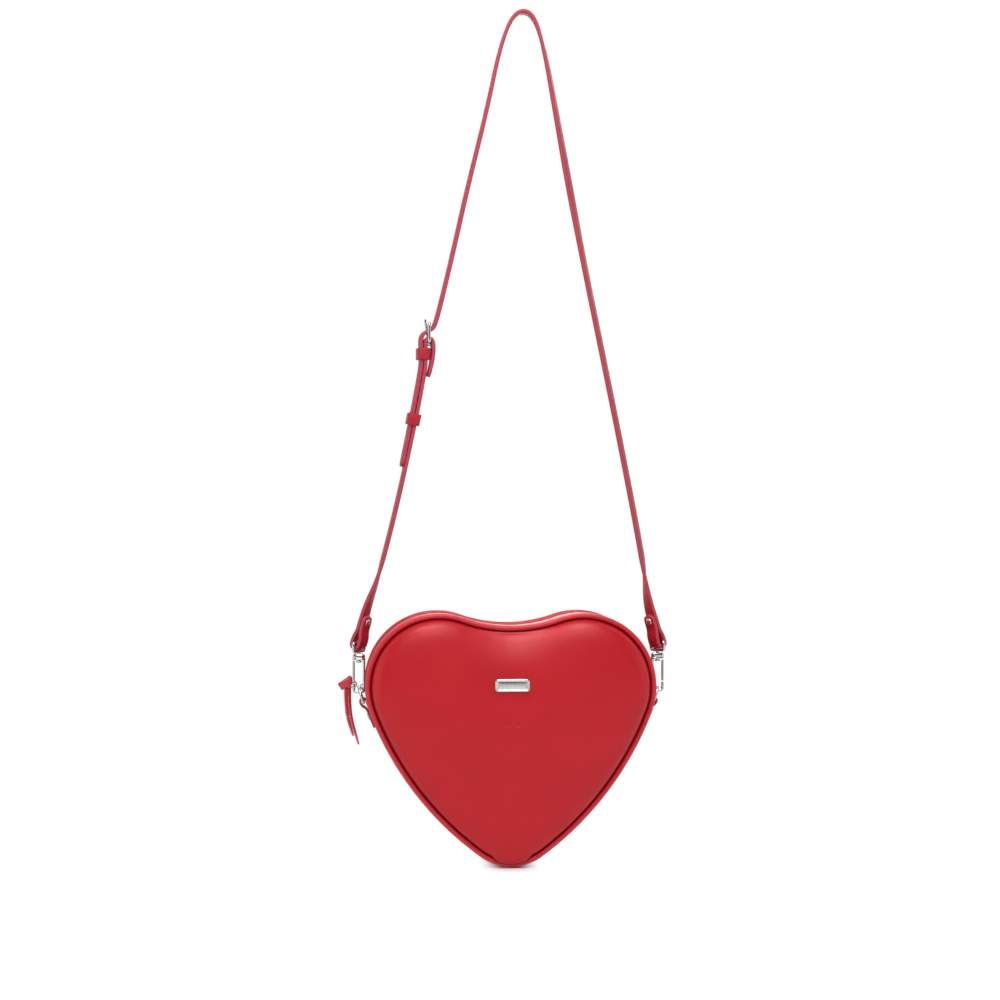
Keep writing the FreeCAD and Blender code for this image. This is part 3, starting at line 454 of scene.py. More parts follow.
def bar(name, line, sizes, turns, guide=Y_WAY, closed=False):
    """A nickel bar along a line, with its half sizes along the guide and square to it at each place."""
    rows = []
    for spot, way, (a, b) in zip(line, ways(line, closed), sizes):
        side = square_to(way, guide)
        out = np.cross(way, side)
        rows.append([spot + side * a * c + out * b * s for c, s in circle(turns)])
    return solid(name, rows, NICKEL, closed)


def turned(name, profile, finish, matrix, turns=28):
    """A turned form from (radius, height) pairs about its own Z, placed by a matrix in millimetres."""
    rows = [[matrix @ Vector((radius * c, radius * s, height)) for c, s in circle(turns)]
            for radius, height in profile]
    return solid(name, rows, finish)


def slab(name, shape, levels, finish, place):
    """A plate from an outline and (level, share) steps with softened rims."""
    rows = [[place(level, y * share, z * share) for y, z in shape] for level, share in levels]
    return solid(name, rows, finish)


def soft_step(low, high, value):
    t = min(1.0, max(0.0, (value - low) / (high - low)))
    return t * t * (3 - 2 * t)


def ripple(x, y, z, scale):
    return noise.noise(Vector((x, y, z)) * scale)


# The heart's outline

def side_middle():
    """The middle of the long arc that runs from the right lobe to the tip."""
    lobe, tip = np.array((LOBE_X, LOBE_Z)), np.array((0.0, TIP_R))
    to_lobe, to_tip = SIDE_R - LOBE_R, SIDE_R - TIP_R
    apart = np.linalg.norm(tip - lobe)
    along = (to_lobe ** 2 - to_tip ** 2 + apart ** 2) / (2 * apart)
    way = (tip - lobe) / apart
    aside = np.array((-way[1], way[0])) * math.sqrt(to_lobe ** 2 - along ** 2)
    return min((lobe + way * along + aside, lobe + way * along - aside), key=lambda spot: spot[0])


SIDE = side_middle()


def half_heart():
    """Arcs of the right half from dip to tip: middle, radius, first and last angle, and facing."""
    dip_r = (LOBE_X ** 2 + (LOBE_R - DIP_DEPTH) ** 2 - LOBE_R ** 2) / (2 * DIP_DEPTH)
    dip_z = HEART_HEIGHT - DIP_DEPTH + dip_r
    to_dip = math.atan2(LOBE_Z - dip_z, LOBE_X)
    to_lobe = math.atan2(LOBE_Z - SIDE[1], LOBE_X - SIDE[0])
    to_tip = math.atan2(TIP_R - SIDE[1], -SIDE[0])
    return (
        (0.0, dip_z, dip_r, -math.pi / 2, to_dip, -1),
        (LOBE_X, LOBE_Z, LOBE_R, to_dip + math.pi, to_lobe, 1),
        (SIDE[0], SIDE[1], SIDE_R, to_lobe, to_tip, 1),
        (0.0, TIP_R, TIP_R, to_tip, -math.pi / 2, 1),
    )


HALF_HEART = half_heart()
HALF_LENGTH = sum(abs(last - first) * radius for _, _, radius, first, last, _ in HALF_HEART)


def heart_at(run):
    """The place and outward way at a run in millimetres round the heart, from the dip to its right."""
    run = run % (2 * HALF_LENGTH)
    mirror = 1 if run <= HALF_LENGTH else -1
    ahead = run if mirror == 1 else 2 * HALF_LENGTH - run
    for x, z, radius, first, last, facing in HALF_HEART:
        length = abs(last - first) * radius
        if ahead <= length + 1e-6:
            break
        ahead -= length
    angle = first + (last - first) * min(1.0, ahead / length)
    way = np.array((math.cos(angle), math.sin(angle)))
    spot = np.array((x, z)) + way * radius
    return np.array((spot[0] * mirror, spot[1])), np.array((way[0] * facing * mirror, way[1] * facing))


def heart_loop(count):
    return [heart_at(2 * HALF_LENGTH * i / count) for i in range(count)]


def upper_runs(z_low, step):
    """Runs along the top of the heart between the two places at that height, from left to right."""
    runs = np.linspace(-HALF_LENGTH, HALF_LENGTH, 4001)
    high = [run for run in runs if heart_at(run)[0][1] >= z_low]
    return np.linspace(high[0], high[-1], int((high[-1] - high[0]) / step) + 1)


def on_bag(spot, way, inset, y):
    """A point of the bag from its place on the outline, how far in it lies, and its depth."""
    x, z = spot - way * inset
    return BAG + np.array((x, y, z))


# Padded faces

PANEL_ROWS = ((3.1, 23.5), (4.1, 24.8), (4.7, 26.6), (5.4, 28.4), (6.6, 30.1), (8.5, 31.6), (11.2, 32.8),
              (14.8, 33.6), (19.4, 34.2), (25.0, 34.6), (30.0, 34.9))
# Painted shade on the panel's first three rows, in the groove along the piping.
SEAM_SHADE_MARKS = (-1.0, -0.8, -0.35)
MIDDLE_ROWS, MIDDLE_DOME = 13, 1.2
PANEL_COUNT, PANEL_T = 288, 3.6
HEART_MIDDLE = np.array((0.0, 92.0))
HELD_ROWS, SWELL_CAP, IRONINGS = 2, 0.9, 60
LEATHER_FILL = {
    "vertex_group_mass": "seam", "quality": 6, "mass": 0.4, "tension_stiffness": 40.0,
    "compression_stiffness": 40.0, "shear_stiffness": 20.0, "bending_stiffness": 4.0,
    "use_pressure": True, "uniform_pressure_force": 4.0, "shrink_min": -0.012,
}
BADGE_SEAT = 35.2
DIP_SLOPE, TIP_SLOPE, TIP_DROP, TIP_SWELL = 4.0, 2.0, 2.4, 0.9
PLEATS = ((-14.5, 1.7), (-10.0, 0.5), (11.0, 0.5), (15.0, 1.7))
PLEAT_HALF, PLEAT_FAN = 1.1, 0.25


def shrunk_ring(loop, inset, share, depth):
    """A ring inside a row of the outline, drawn in to the heart's middle, at depths given by place."""
    ring = []
    for spot, way in loop:
        x, z = HEART_MIDDLE + (spot - way * inset - HEART_MIDDLE) * share
        ring.append(BAG + np.array((x, depth(x, z), z)))
    return ring


def panel_rows(facing):
    """Rings of a face from its seam to its middle."""
    loop = heart_loop(PANEL_COUNT)
    rows = [[on_bag(s, w, inset, facing * depth) for s, w in loop] for inset, depth in PANEL_ROWS]
    inset, depth = PANEL_ROWS[-1]
    for k in range(1, MIDDLE_ROWS):
        share = 1 - k / MIDDLE_ROWS
        level = facing * (depth + MIDDLE_DOME * (1 - share ** 2))
        rows.append(shrunk_ring(loop, inset, share, lambda x, z: level))
    return np.array(rows)


def swell(obj, count, width):
    """Lets the face fill like stuffed leather, held round its seam, and irons out the small puckers."""
    start = np.array([v.co for v in obj.data.vertices])
    group = obj.vertex_groups.new(name="seam")
    group.add(list(range(HELD_ROWS * width)), 1.0, "REPLACE")
    fill = obj.modifiers.new("Fill", "CLOTH")
    for key, setting in LEATHER_FILL.items():
        setattr(fill.settings, key, setting)
    fill.settings.effector_weights.gravity = 0.0
    fill.collision_settings.use_collision = False
    scene = bpy.context.scene
    for step in range(1, 21):
        scene.frame_set(step)
    filled = obj.evaluated_get(bpy.context.evaluated_depsgraph_get())
    shift = np.array([v.co for v in filled.to_mesh().vertices]) - start
    filled.to_mesh_clear()
    obj.modifiers.remove(fill)
    scene.frame_set(1)
    far = np.linalg.norm(shift, axis=1)
    room = SWELL_CAP * MM
    keep = room * np.tanh(far / room) / np.maximum(far, 1e-9)
    grid = (shift * keep[:, None]).reshape(count, width, 3)
    for _ in range(IRONINGS):
        beside = (np.roll(grid, 1, axis=1) + np.roll(grid, -1, axis=1)) / 2
        inner = np.vstack([grid[1:], grid[-1:]])
        outer = np.vstack([grid[:1], grid[:-1]])
        grid = grid * 0.3 + beside * 0.5 + (inner + outer) * 0.1
        grid[:HELD_ROWS] = 0.0
    obj.data.vertices.foreach_set("co", (start + grid.reshape(-1, 3)).astype(np.float32).ravel())
    obj.vertex_groups.clear()
    obj.data.update()


def dress_panel(obj, facing):
    """Presses the badge's seat in, slopes the face to dip and tip, and turns the tip down between pleats."""
    for vertex in obj.data.vertices:
        x, y, z = np.array(vertex.co) / MM - BAG
        depth, out = abs(y), 0.0
        if facing == FRONT:
            seat = math.hypot(x / 15.0, (z - BADGE_Z) / 8.0)
            out += (1 - soft_step(0.9, 3.4, seat)) * min(0.0, BADGE_SEAT - depth)
        near_dip = math.exp(-(x / 30.0) ** 2) * soft_step(118.0, 164.0, z)
        out -= DIP_SLOPE * near_dip * soft_step(26.0, 31.0, depth)
        out -= TIP_SLOPE * (1 - soft_step(18.0, 105.0, z)) * soft_step(27.0, 33.0, depth)
        tip = 1 - soft_step(5.0, 16.0, z)
        rim = soft_step(24.6, 27.0, depth) * (1 - soft_step(30.5, 34.6, depth))
        for along, deep in PLEATS:
            gap = (x - along - (z - 8.0) * PLEAT_FAN * np.sign(along)) / PLEAT_HALF
            out -= deep * tip * math.exp(-gap * gap) * soft_step(24.0, 27.0, depth)
        turned_down = tip * rim * (1 - soft_step(10.5, 13.5, abs(x)))
        vertex.co.z -= TIP_DROP * turned_down * MM
        out += TIP_SWELL * turned_down + 0.16 * rim * ripple(x, 0.0, z, 0.16)
        vertex.co.y += facing * out * MM


for side, facing in FACES:
    rows = panel_rows(facing)
    count, width = rows.shape[:2]
    # The first rows get painted seam shade.
    marks = [[SEAM_SHADE_MARKS[i] if i < len(SEAM_SHADE_MARKS) else 0.0] * width for i in range(count)]
    face = piece(side + "_padded_face", rows, RED_PANEL, closed_u=True, edge=marks, caps=(False, True),
                 flip=facing == FRONT)
    swell(face, count, width)
    dress_panel(face, facing)
    smoother(thicken(face, PANEL_T))
    settle(face, "bag", "bag_leather", side + "_panel", side + "_foam")


# Piping round both faces

def glint(angle, middle, power):
    """1 at one angle round the cord, falling off to both sides."""
    return max(0.0, math.cos(angle - middle)) ** power


def piping(side, facing):
    """A rolled edge round one face, with a painted highlight along its outer side and painted shade on its
    seam side and at the tip.
    """
    rows, marks = [], []
    for spot, way in heart_loop(336):
        ring, mark = [], []
        tip = (1 - soft_step(9.0, 15.0, abs(spot[0]))) * (1 - soft_step(8.0, 16.0, spot[1]))
        radius = PIPING_R * (1 + 0.05 * ripple(spot[0], facing * 9.0, spot[1], 0.22))
        for k in range(12):
            angle = 2 * math.pi * k / 12
            inset, depth = PIPING_R - radius * math.cos(angle), SEAM_HALF + radius * math.sin(angle)
            ring.append(on_bag(spot, way, inset, facing * depth))
            # Painted highlight on the cord's outer side; painted shade on its seam side and, stronger, on its
            # inner front side at the tip.
            edge_paint_and_painted_light, seam = 0.45 * glint(angle, 0.4, 3), 0.7 * glint(angle, 2.75, 3)
            mark.append(edge_paint_and_painted_light - seam - 1.1 * tip * glint(angle, 2.1, 5))
        rows.append(ring)
        marks.append(mark)
    obj = smoother(solid(side + "_rolled_piping", rows, RED_PIPING, True, marks))
    settle(obj, "bag", "piping_leather", side + "_piping", side + "_piping_cord")


for side, facing in FACES:
    piping(side, facing)


# Band between the faces

def strip_rows(runs, depths, inset):
    """Rows across the band at each run, from back to front. Inset says how far in a place lies."""
    return [[on_bag(spot, way, inset(spot, y), y) for y in depths[::-1]] for spot, way in map(heart_at, runs)]


def edge_tuck(y):
    """How far the band dives under the piping."""
    return 0.5 * (1 - soft_step(0.0, 3.0, BAND_EDGE - abs(y)))


def lower_inset(spot, y):
    """The band below the zip, filled out between its edges and flat at the side tabs."""
    full = (1 - (y / 23.0) ** 2) * (1 - soft_step(78.0, 92.0, spot[1]))
    return GUSSET_INSET - (1.7 + 0.12 * ripple(spot[0], y, spot[1], 0.06)) * full + edge_tuck(y)


def upper_inset(spot, y):
    """The band beside the zip, a little full, with a folded lip along the slot."""
    lift = 0.7 * math.sin(math.pi * min(1.0, max(0.0, (y + 23.0) / 30.5))) if y < ZIP_Y else 0.2
    fold = 0.25 * math.exp(-((abs(y - ZIP_Y) - ZIP_SLOT / 2 - 0.8) / 0.9) ** 2)
    clear = soft_step(SEAM_Z, SEAM_Z + 14.0, spot[1])
    return GUSSET_INSET - (lift + 0.10 * ripple(spot[0], y, spot[1], 0.06)) * clear - fold + edge_tuck(y)


top_runs = upper_runs(SEAM_Z, 2.0)
low_runs = np.linspace(top_runs[-1], top_runs[0] + 2 * HALF_LENGTH, 190)
low_depths = (-BAND_EDGE, -BAND_TURN, *np.linspace(-BAND_FLAT, BAND_FLAT, 15), BAND_TURN, BAND_EDGE)
front_depths = (-BAND_EDGE, -BAND_TURN, *np.linspace(-BAND_FLAT, 5.0, 12), 6.2, 7.0, 7.5)
back_depths = (16.5, 17.0, 17.8, 19.2, 20.8, BAND_TURN, BAND_EDGE)
for name, runs, depths, inset, wall, node in (
        ("lower_band", low_runs, low_depths, lower_inset, 1.9, "bottom_gusset"),
        ("zip_band_front", top_runs, front_depths, upper_inset, 1.3, "zip_gusset_front"),
        ("zip_band_back", top_runs, back_depths, upper_inset, 1.3, "zip_gusset_back")):
    slot_edge = [0.5 if abs(abs(y - ZIP_Y) - ZIP_SLOT / 2) < 0.3 else 0.0 for y in depths[::-1]]
    cut_end = [0.5] * len(depths)
    marks = [cut_end, *[slot_edge] * (len(runs) - 2), cut_end]
    strip = piece(name, strip_rows(runs, depths, inset), RED_GUSSET, edge=marks)
    settle(smoother(thicken(strip, wall)), "bag", "bag_leather", node)


# Things in rows: each grows along a path whose points know their outward way

class Rule:
    """A Geometry Nodes tree with named sizes."""

    def __init__(self, name, finish, **sizes):
        self.finish, self.keys = finish, {}
        self.tree = bpy.data.node_groups.new(name, "GeometryNodeTree")
        ports = self.tree.interface
        ports.new_socket("Path", in_out="INPUT", socket_type="NodeSocketGeometry")
        for key, size in sizes.items():
            port = ports.new_socket(key, in_out="INPUT", socket_type="NodeSocketFloat")
            port.default_value = size * MM
            self.keys[key] = port.identifier
        ports.new_socket("Row", in_out="OUTPUT", socket_type="NodeSocketGeometry")
        self.given = self.tree.nodes.new("NodeGroupInput").outputs
        self.result = self.tree.nodes.new("NodeGroupOutput").inputs[0]

    def node(self, kind, *given, **named):
        return add_node(self.tree, kind, *given, **named)

    def vector(self, x, y, z):
        return self.node("ShaderNodeCombineXYZ", x, y, z)

    def times(self, socket, number):
        return self.node("ShaderNodeMath", socket, number, operation="MULTIPLY")

    def ball(self, segments, rings, radius):
        return self.node("GeometryNodeMeshUVSphere", segments, rings, radius)

    def moved(self, geometry, **change):
        return self.node("GeometryNodeTransform", Geometry=geometry, **change)

    def merge(self, *parts):
        join = self.tree.nodes.new("GeometryNodeJoinGeometry")
        for part in parts:
            self.tree.links.new(part, join.inputs[0])
        return join.outputs[0]

    def paced(self):
        """Points along the path, a pitch apart."""
        curve = self.node("GeometryNodeMeshToCurve", self.given["Path"])
        return self.node("GeometryNodeResampleCurve", Curve=curve, Length=self.given["Pitch"], mode="LENGTH")

    def facing(self, along):
        """The turn of a copy: Z outwards, and X along the path if it has one."""
        out = self.node("GeometryNodeInputNamedAttribute", Name="out", data_type="FLOAT_VECTOR")
        turn = self.node("FunctionNodeAlignRotationToVector", Vector=out, axis="Z")
        if along:
            turn = self.node("FunctionNodeAlignRotationToVector", Rotation=turn, axis="X", pivot_axis="Z",
                             Vector=self.node("GeometryNodeInputTangent"))
        return turn

    def close(self, points, copy, along):
        """Sets a copy on each point, and makes the row real, smooth and finished."""
        row = self.node("GeometryNodeInstanceOnPoints", Points=points, Instance=copy,
                        Rotation=self.facing(along))
        for kind in ("GeometryNodeRealizeInstances", "GeometryNodeSetShadeSmooth"):
            row = self.node(kind, row)
        row = self.node("GeometryNodeSetMaterial", Geometry=row, Material=self.finish)
        self.tree.links.new(row, self.result)
        return self

    def grow(self, name, points, outs, joined_up=True, **sizes):
        """Runs the rule on a path, or on single points, and keeps the plain mesh."""
        path = bpy.data.meshes.new(name + "_path")
        edges = [(i, i + 1) for i in range(len(points) - 1)] if joined_up else []
        path.from_pydata([tuple(p) for p in np.array(points) * MM], edges, [])
        mark = path.attributes.new("out", "FLOAT_VECTOR", "POINT")
        mark.data.foreach_set("vector", np.array(outs, np.float32).ravel())
        obj = linked(bpy.data.objects.new(name, path))
        rule = obj.modifiers.new("Rule", "NODES")
        rule.node_group = self.tree
        for key, size in sizes.items():
            rule[self.keys[key]] = size * MM
        mesh = result_of(obj)
        bpy.data.objects.remove(obj)
        mesh.name = name
        return as_object(name, mesh, self.finish)


def zip_teeth_rule():
    """Metal teeth: a leg over the tape's edge with a rounded head, at an even pitch."""
    rule = Rule("zip_teeth", ZIP_METAL, Pitch=2.0, Leg=2.5, Wide=1.05, High=1.3, Shift=-0.95, Head=0.15)
    give = rule.given
    leg = rule.node("GeometryNodeMeshCube", rule.vector(give["Wide"], give["Leg"], give["High"]))
    leg = rule.node("GeometryNodeSubdivisionSurface", Mesh=leg, Level=1, Edge_Crease=0.75)
    leg = rule.moved(leg, Translation=rule.vector(0.0, give["Shift"], 0.0))
    head = rule.moved(rule.ball(8, 5, rule.times(give["High"], 0.5)), Scale=(1.05, 1.0, 1.12),
                      Translation=rule.vector(0.0, give["Head"], 0.0))
    return rule.close(rule.paced(), rule.merge(leg, head), along=True)


def stitch_rule():
    """A run of sewn stitches, each a small loaf of thread sunk in the leather."""
    rule = Rule("stitches", THREAD, Pitch=2.6, Long=1.9, Thick=0.55)
    thick = rule.given["Thick"]
    loaf = rule.moved(rule.ball(8, 6, 0.5), Scale=rule.vector(rule.given["Long"], thick, thick))
    return rule.close(rule.paced(), loaf, along=True)


def rivet_rule():
    """Domed rivet heads on a flat flange."""
    rule = Rule("rivet_heads", NICKEL, Across=6.0, High=1.1)
    across, high = rule.given["Across"], rule.given["High"]
    dome = rule.moved(rule.ball(28, 12, 0.5), Scale=rule.vector(across, across, rule.times(high, 2.0)))
    flange = rule.node("GeometryNodeMeshCylinder", Vertices=28, Radius=rule.times(across, 0.5),
                       Depth=rule.times(high, 0.5))
    return rule.close(rule.given["Path"], rule.merge(dome, flange), along=False)


TEETH, STITCHES, RIVETS = zip_teeth_rule(), stitch_rule(), rivet_rule()

# Zip

TAPE_INSET, TAPE_T = GUSSET_INSET + GUSSET_T, 0.6
TAPE_DEPTHS = {"front": (4.2, 6.0, 7.6, 9.2, 10.6, 11.8), "back": (12.2, 13.4, 14.8, 16.4, 18.0, 19.8)}
TEETH_RISE, TEETH_SHIFT, TEETH_HEAD = 0.62, 0.95, 0.15
STITCH_RISE, STITCH_FROM_SEAM = 0.05, 3.0


def tape_inset(spot, y):
    """The tapes rise a little where they meet."""
    return TAPE_INSET - 0.25 * math.exp(-((y - ZIP_Y) / 1.2) ** 2)


def seam_path(runs, inset, y):
    """Points along the band at one depth, and their outward ways."""
    spots = [heart_at(run) for run in runs]
    return [on_bag(s, w, inset(s, y), y) for s, w in spots], [(w[0], 0.0, w[1]) for _, w in spots]


for side, depths in TAPE_DEPTHS.items():
    tape = piece("zip_tape_cloth_" + side, strip_rows(top_runs, depths, tape_inset), TAPE_CLOTH)
    settle(smoother(thicken(tape, TAPE_T)), "bag", "zip_tape", "zip_tape_" + side)

chain_runs = upper_runs(CHAIN_Z, 0.5)
for (side, facing), start in zip(FACES, (0, 2)):
    points, outs = seam_path(chain_runs[start:], lambda spot, y: TAPE_INSET - TEETH_RISE, ZIP_Y)
    teeth = TEETH.grow("zip_teeth_" + side, points, outs,
                       Shift=facing * TEETH_SHIFT, Head=-facing * TEETH_HEAD)
    settle(teeth, "bag", "zip_metal", "zip_chain_" + side)

for side, y in (("front", 5.3), ("back", 18.7)):
    points, outs = seam_path(upper_runs(SEAM_Z + 4.0, 1.0), lambda s, y: upper_inset(s, y) - STITCH_RISE, y)
    settle(STITCHES.grow("zip_stitches_" + side, points, outs), "bag", "bag_leather")
for side, run in (("right", low_runs[0] + STITCH_FROM_SEAM), ("left", low_runs[-1] - STITCH_FROM_SEAM)):
    spot, way = heart_at(run)
    points = [on_bag(spot, way, lower_inset(spot, y) - STITCH_RISE, y)
              for y in np.linspace(-BAND_FLAT, BAND_FLAT, 60)]
    outs = [(way[0], 0.0, way[1])] * len(points)
    settle(STITCHES.grow("seam_stitches_" + side, points, outs), "bag", "bag_leather")

SLIDER_TURN = math.asin(3.0 / 51.1)
slider_place = (Matrix.Translation(BAG + np.array((-LOBE_X, ZIP_Y, LOBE_Z)))
                @ Matrix.Rotation(-SLIDER_TURN, 4, "Y"))
PLATE_STEPS = ((49.72, 0.93), (49.85, 0.99), (50.2, 1.0), (50.75, 0.985), (51.0, 0.94), (51.1, 0.86))
FLANGE_STEPS = ((48.5, 0.9), (48.65, 1.0), (49.9, 1.0))
BRIDGE = ((50.6, -2.6), (52.6, -2.7), (54.1, -2.2), (54.15, 0.0), (54.1, 2.2), (52.6, 2.7), (50.6, 2.6))


def slider_spot(out, y, z):
    """A point of the slider, so far out from the middle of the left lobe."""
    return slider_place @ Vector((-out, y, z))


parts = [slab("plate", soft_box(3.3, 4.4, 4.0, waist=0.06), PLATE_STEPS, ZIP_METAL, slider_spot)]
for shift in (-3.0, 3.0):
    parts.append(slab("flange", soft_box(0.42, 4.0, 4.0), FLANGE_STEPS, ZIP_METAL,
                      lambda level, y, z: slider_spot(level, y + shift, z)))
arch = smooth_line([slider_spot(out, 0, z) for out, z in BRIDGE], 0.5)
parts.append(band("bridge", arch, Y_WAY, 2.3, 0.85, ZIP_METAL, corner=0.3))
settle(joined("zip_slider_body", parts), "slider", "zip_metal", "zip_slider")

# Linings

LINING_DEPTH, LINING_INSET = 30.2, 3.75
LINING_T, BAND_LINING_T, POCKET_T = 0.4, 0.3, 0.45
BEHIND_INSET, BEHIND_DEPTH = 4.4, 4.9
lining_rows = [(inset + BEHIND_INSET, depth - BEHIND_DEPTH) for inset, depth in PANEL_ROWS[2:]]
for side, facing in FACES:
    loop = heart_loop(144)
    rows = [[on_bag(s, w, inset, facing * depth) for s, w in loop] for inset, depth in lining_rows]
    for share in (0.8, 0.6, 0.4, 0.2, 0.02):
        rows.append(shrunk_ring(loop, lining_rows[-1][0], share, lambda x, z: facing * (
            LINING_DEPTH + 0.15 * ripple(x, facing, z, 0.08))))
    sheet = piece(side + "_lining_cloth", rows, LINING_CLOTH, closed_u=True, caps=(False, True))
    settle(smoother(thicken(outward(sheet), LINING_T)), "bag", "lining_cloth", side + "_lining")

parts, band_area = [], 0.0
for runs, first, last, count in ((low_runs, -BAND_TURN, BAND_TURN, 9), (top_runs, -BAND_TURN, 7.4, 7),
                                 (top_runs, 16.6, BAND_TURN, 3)):
    depths = np.linspace(first, last, count)
    rows = strip_rows(runs[::2], depths, lambda s, y: LINING_INSET + 0.12 * ripple(s[0], y, s[1], 0.1))
    strip = piece("cloth", rows, LINING_CLOTH)
    band_area += cut_area(strip)
    parts.append(thicken(strip, BAND_LINING_T))
band_lining = settle(joined("band_lining_cloth", parts), "bag", "lining_cloth", "gusset_lining")

low, high = (np.array(c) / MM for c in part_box("inner_pocket"))
rows = []
for up in np.linspace(0, 1, 22):
    hem = 0.25 * soft_step(0.86, 0.9, up)
    rows.append([(low[0] + (high[0] - low[0]) * share,
                  low[1] + 0.25 - hem - 0.5 * up * (1 - (2 * share - 1) ** 2),
                  low[2] + (high[2] - low[2]) * up) for share in np.linspace(0, 1, 34)])
pocket = smoother(thicken(piece("inner_pocket_cloth", rows, LINING_CLOTH), POCKET_T))
settle(pocket, "bag", "lining_cloth", "inner_pocket")

# Badge: a plain plate with a raised rim

BADGE_HALF_X, BADGE_HALF_Z, BADGE_CORNER = 12.0, 4.5, 2.2
BADGE_STEPS = ((34.7, 0.25), (34.95, 0.05), (35.6, 0.0), (36.25, 0.12), (36.55, 0.45), (36.6, 0.9),
               (36.5, 1.25), (36.3, 1.45), (36.28, 1.8), (36.34, 2.4), (36.4, 3.2))


def badge_outline(inset):
    """The plate's outline, so far inside its edge, with places along its straight sides too."""
    corner = max(0.4, BADGE_CORNER - inset)
    ring = rounded_rectangle(BADGE_HALF_X - inset, BADGE_HALF_Z - inset, corner, 8)
    quarters = np.array(ring).reshape(4, 9, 2)
    out = []
    for k, quarter in enumerate(quarters):
        start, stop = quarter[-1], quarters[(k + 1) % 4][0]
        shares = (0.3, 0.5, 0.7) if k % 2 else (0.1, 0.3, 0.5, 0.7, 0.9)
        out += [*quarter, *(start + (stop - start) * share for share in shares)]
    return out


rows = []
for level, inset in BADGE_STEPS:
    rows.append([BAG + np.array((x, -level, BADGE_Z + z)) for x, z in badge_outline(inset)])
settle(smoother(solid("badge_plate_plain", rows, BADGE_METAL)), "bag", "badge_metal", "badge_plate")

# Side tabs: a strip folded round each ring's bar and riveted

TAB_RIVET_Z = LOBE_Z - 21.0
TAB_SURFACE = SIDE_R - GUSSET_INSET
TAB_SLOPE = math.asin((SIDE[1] - TAB_RIVET_Z) / TAB_SURFACE)
TAB_RIVET_X = SIDE[0] + TAB_SURFACE * math.cos(TAB_SLOPE)
TAB_W, TAB_T, TAB_ROUND = 9.4, 1.35, (3.6, 3.6)
TAB_PATH = ((0.85, -9.0), (0.85, -3.0), (0.85, 4.0), (0.85, 8.6), (0.5, 12.6), (2.8, 13.9), (5.1, 12.6),
            (4.8, 9.0), (2.5, 6.4), (2.35, 3.0), (2.35, -3.0), (2.35, -8.6))


def tab_spot(side, out, up):
    """A point of a tab, so far out from the band and so far up its slope from the rivet."""
    x = TAB_RIVET_X + out * math.cos(TAB_SLOPE) + up * math.sin(TAB_SLOPE)
    z = TAB_RIVET_Z - out * math.sin(TAB_SLOPE) + up * math.cos(TAB_SLOPE)
    return BAG + np.array((side * x, 0.0, z))


for name, side in SIDES:
    line = smooth_line([tab_spot(side, out, up) for out, up in TAB_PATH], 0.7)
    strip = band("side_tab_leather_" + name, line, Y_WAY, TAB_W, TAB_T, RED_STRAP, corner=0.4,
                 round_ends=TAB_ROUND)
    settle(strip, "bag", "bag_leather", "side_tab_" + name)
points, outs = [], []
for level, facing in ((3.0, 1), (-3.4, -1)):
    for _, side in SIDES:
        points.append(tab_spot(side, level, 0.0))
        outs.append((facing * side * math.cos(TAB_SLOPE), 0.0, -facing * math.sin(TAB_SLOPE)))
heads = RIVETS.grow("side_tab_rivets", points, outs, joined_up=False, Across=6.0)
settle(heads, "bag", "nickel", "tab_rivets")

# Swivel hooks

TWIST_END = math.radians(-35.0)
STRAP_LEAN = math.radians(16.0)
LEG_X = 3.6
CLAW_ROUTE = ((3.65, 6.0), (3.65, 4.4), (LEG_X, 2.2), (3.2, 0.1), (1.4, -0.15), (-1.4, -0.15), (-3.3, 0.1),
              (-LEG_X, 2.6), (-LEG_X, 6.0), (-LEG_X, 12.0), (-LEG_X, 18.0), (-LEG_X, 23.6))
COLLAR = ((21.75, 0.90), (21.95, 0.97), (22.5, 1.0), (22.9, 0.99), (23.1, 0.94), (23.4, 0.94), (23.6, 0.99),
          (24.8, 1.0), (25.5, 0.96), (26.2, 0.85), (26.6, 0.70), (26.7, 0.52))
EYE_CORNERS = ((-6.5, 28.1), (-6.5, 34.0), (6.5, 34.0), (6.5, 28.1))
EYE_WIRE, EYE_BEND = 1.1, 1.5
POST = ((0.4, 20.1), (1.6, 20.15), (1.9, 20.4), (1.9, 21.1), (1.6, 21.4), (1.05, 21.45), (1.05, 26.8),
        (1.35, 27.1), (1.35, 28.3), (0.6, 28.9))
KNUCKLE = ((0.6, -1.0), (1.2, -0.95), (1.3, -0.7), (1.3, 0.7), (1.2, 0.95), (0.6, 1.0))


def width_way(turn):
    """The strap's width direction when it is turned so far about the vertical."""
    return np.array((math.sin(turn), math.cos(turn), 0.0))


def hook_spot(side, x, y, z):
    return BAG + np.array((side * (HOOK_X + x), side * y, CLAW_Z + z))


def hook_frame(side):
    """The claw, its long leg and its nose as one bent bar, under a soft-edged collar."""
    line = smooth_line([hook_spot(side, x, 0.0, z) for x, z in CLAW_ROUTE], 0.6)
    low_shares = [1 - soft_step(0.2, 4.2, z - BAG[2] - CLAW_Z) for z in line[:, 2]]
    claw = bar("claw", line, [(1.35, 0.98 + 0.24 * share) for share in low_shares], 16)
    collar = slab("collar", soft_box(4.5, 2.4, 3.4), COLLAR, NICKEL,
                  lambda level, x, y: hook_spot(side, x, y, level))
    return [claw, collar]


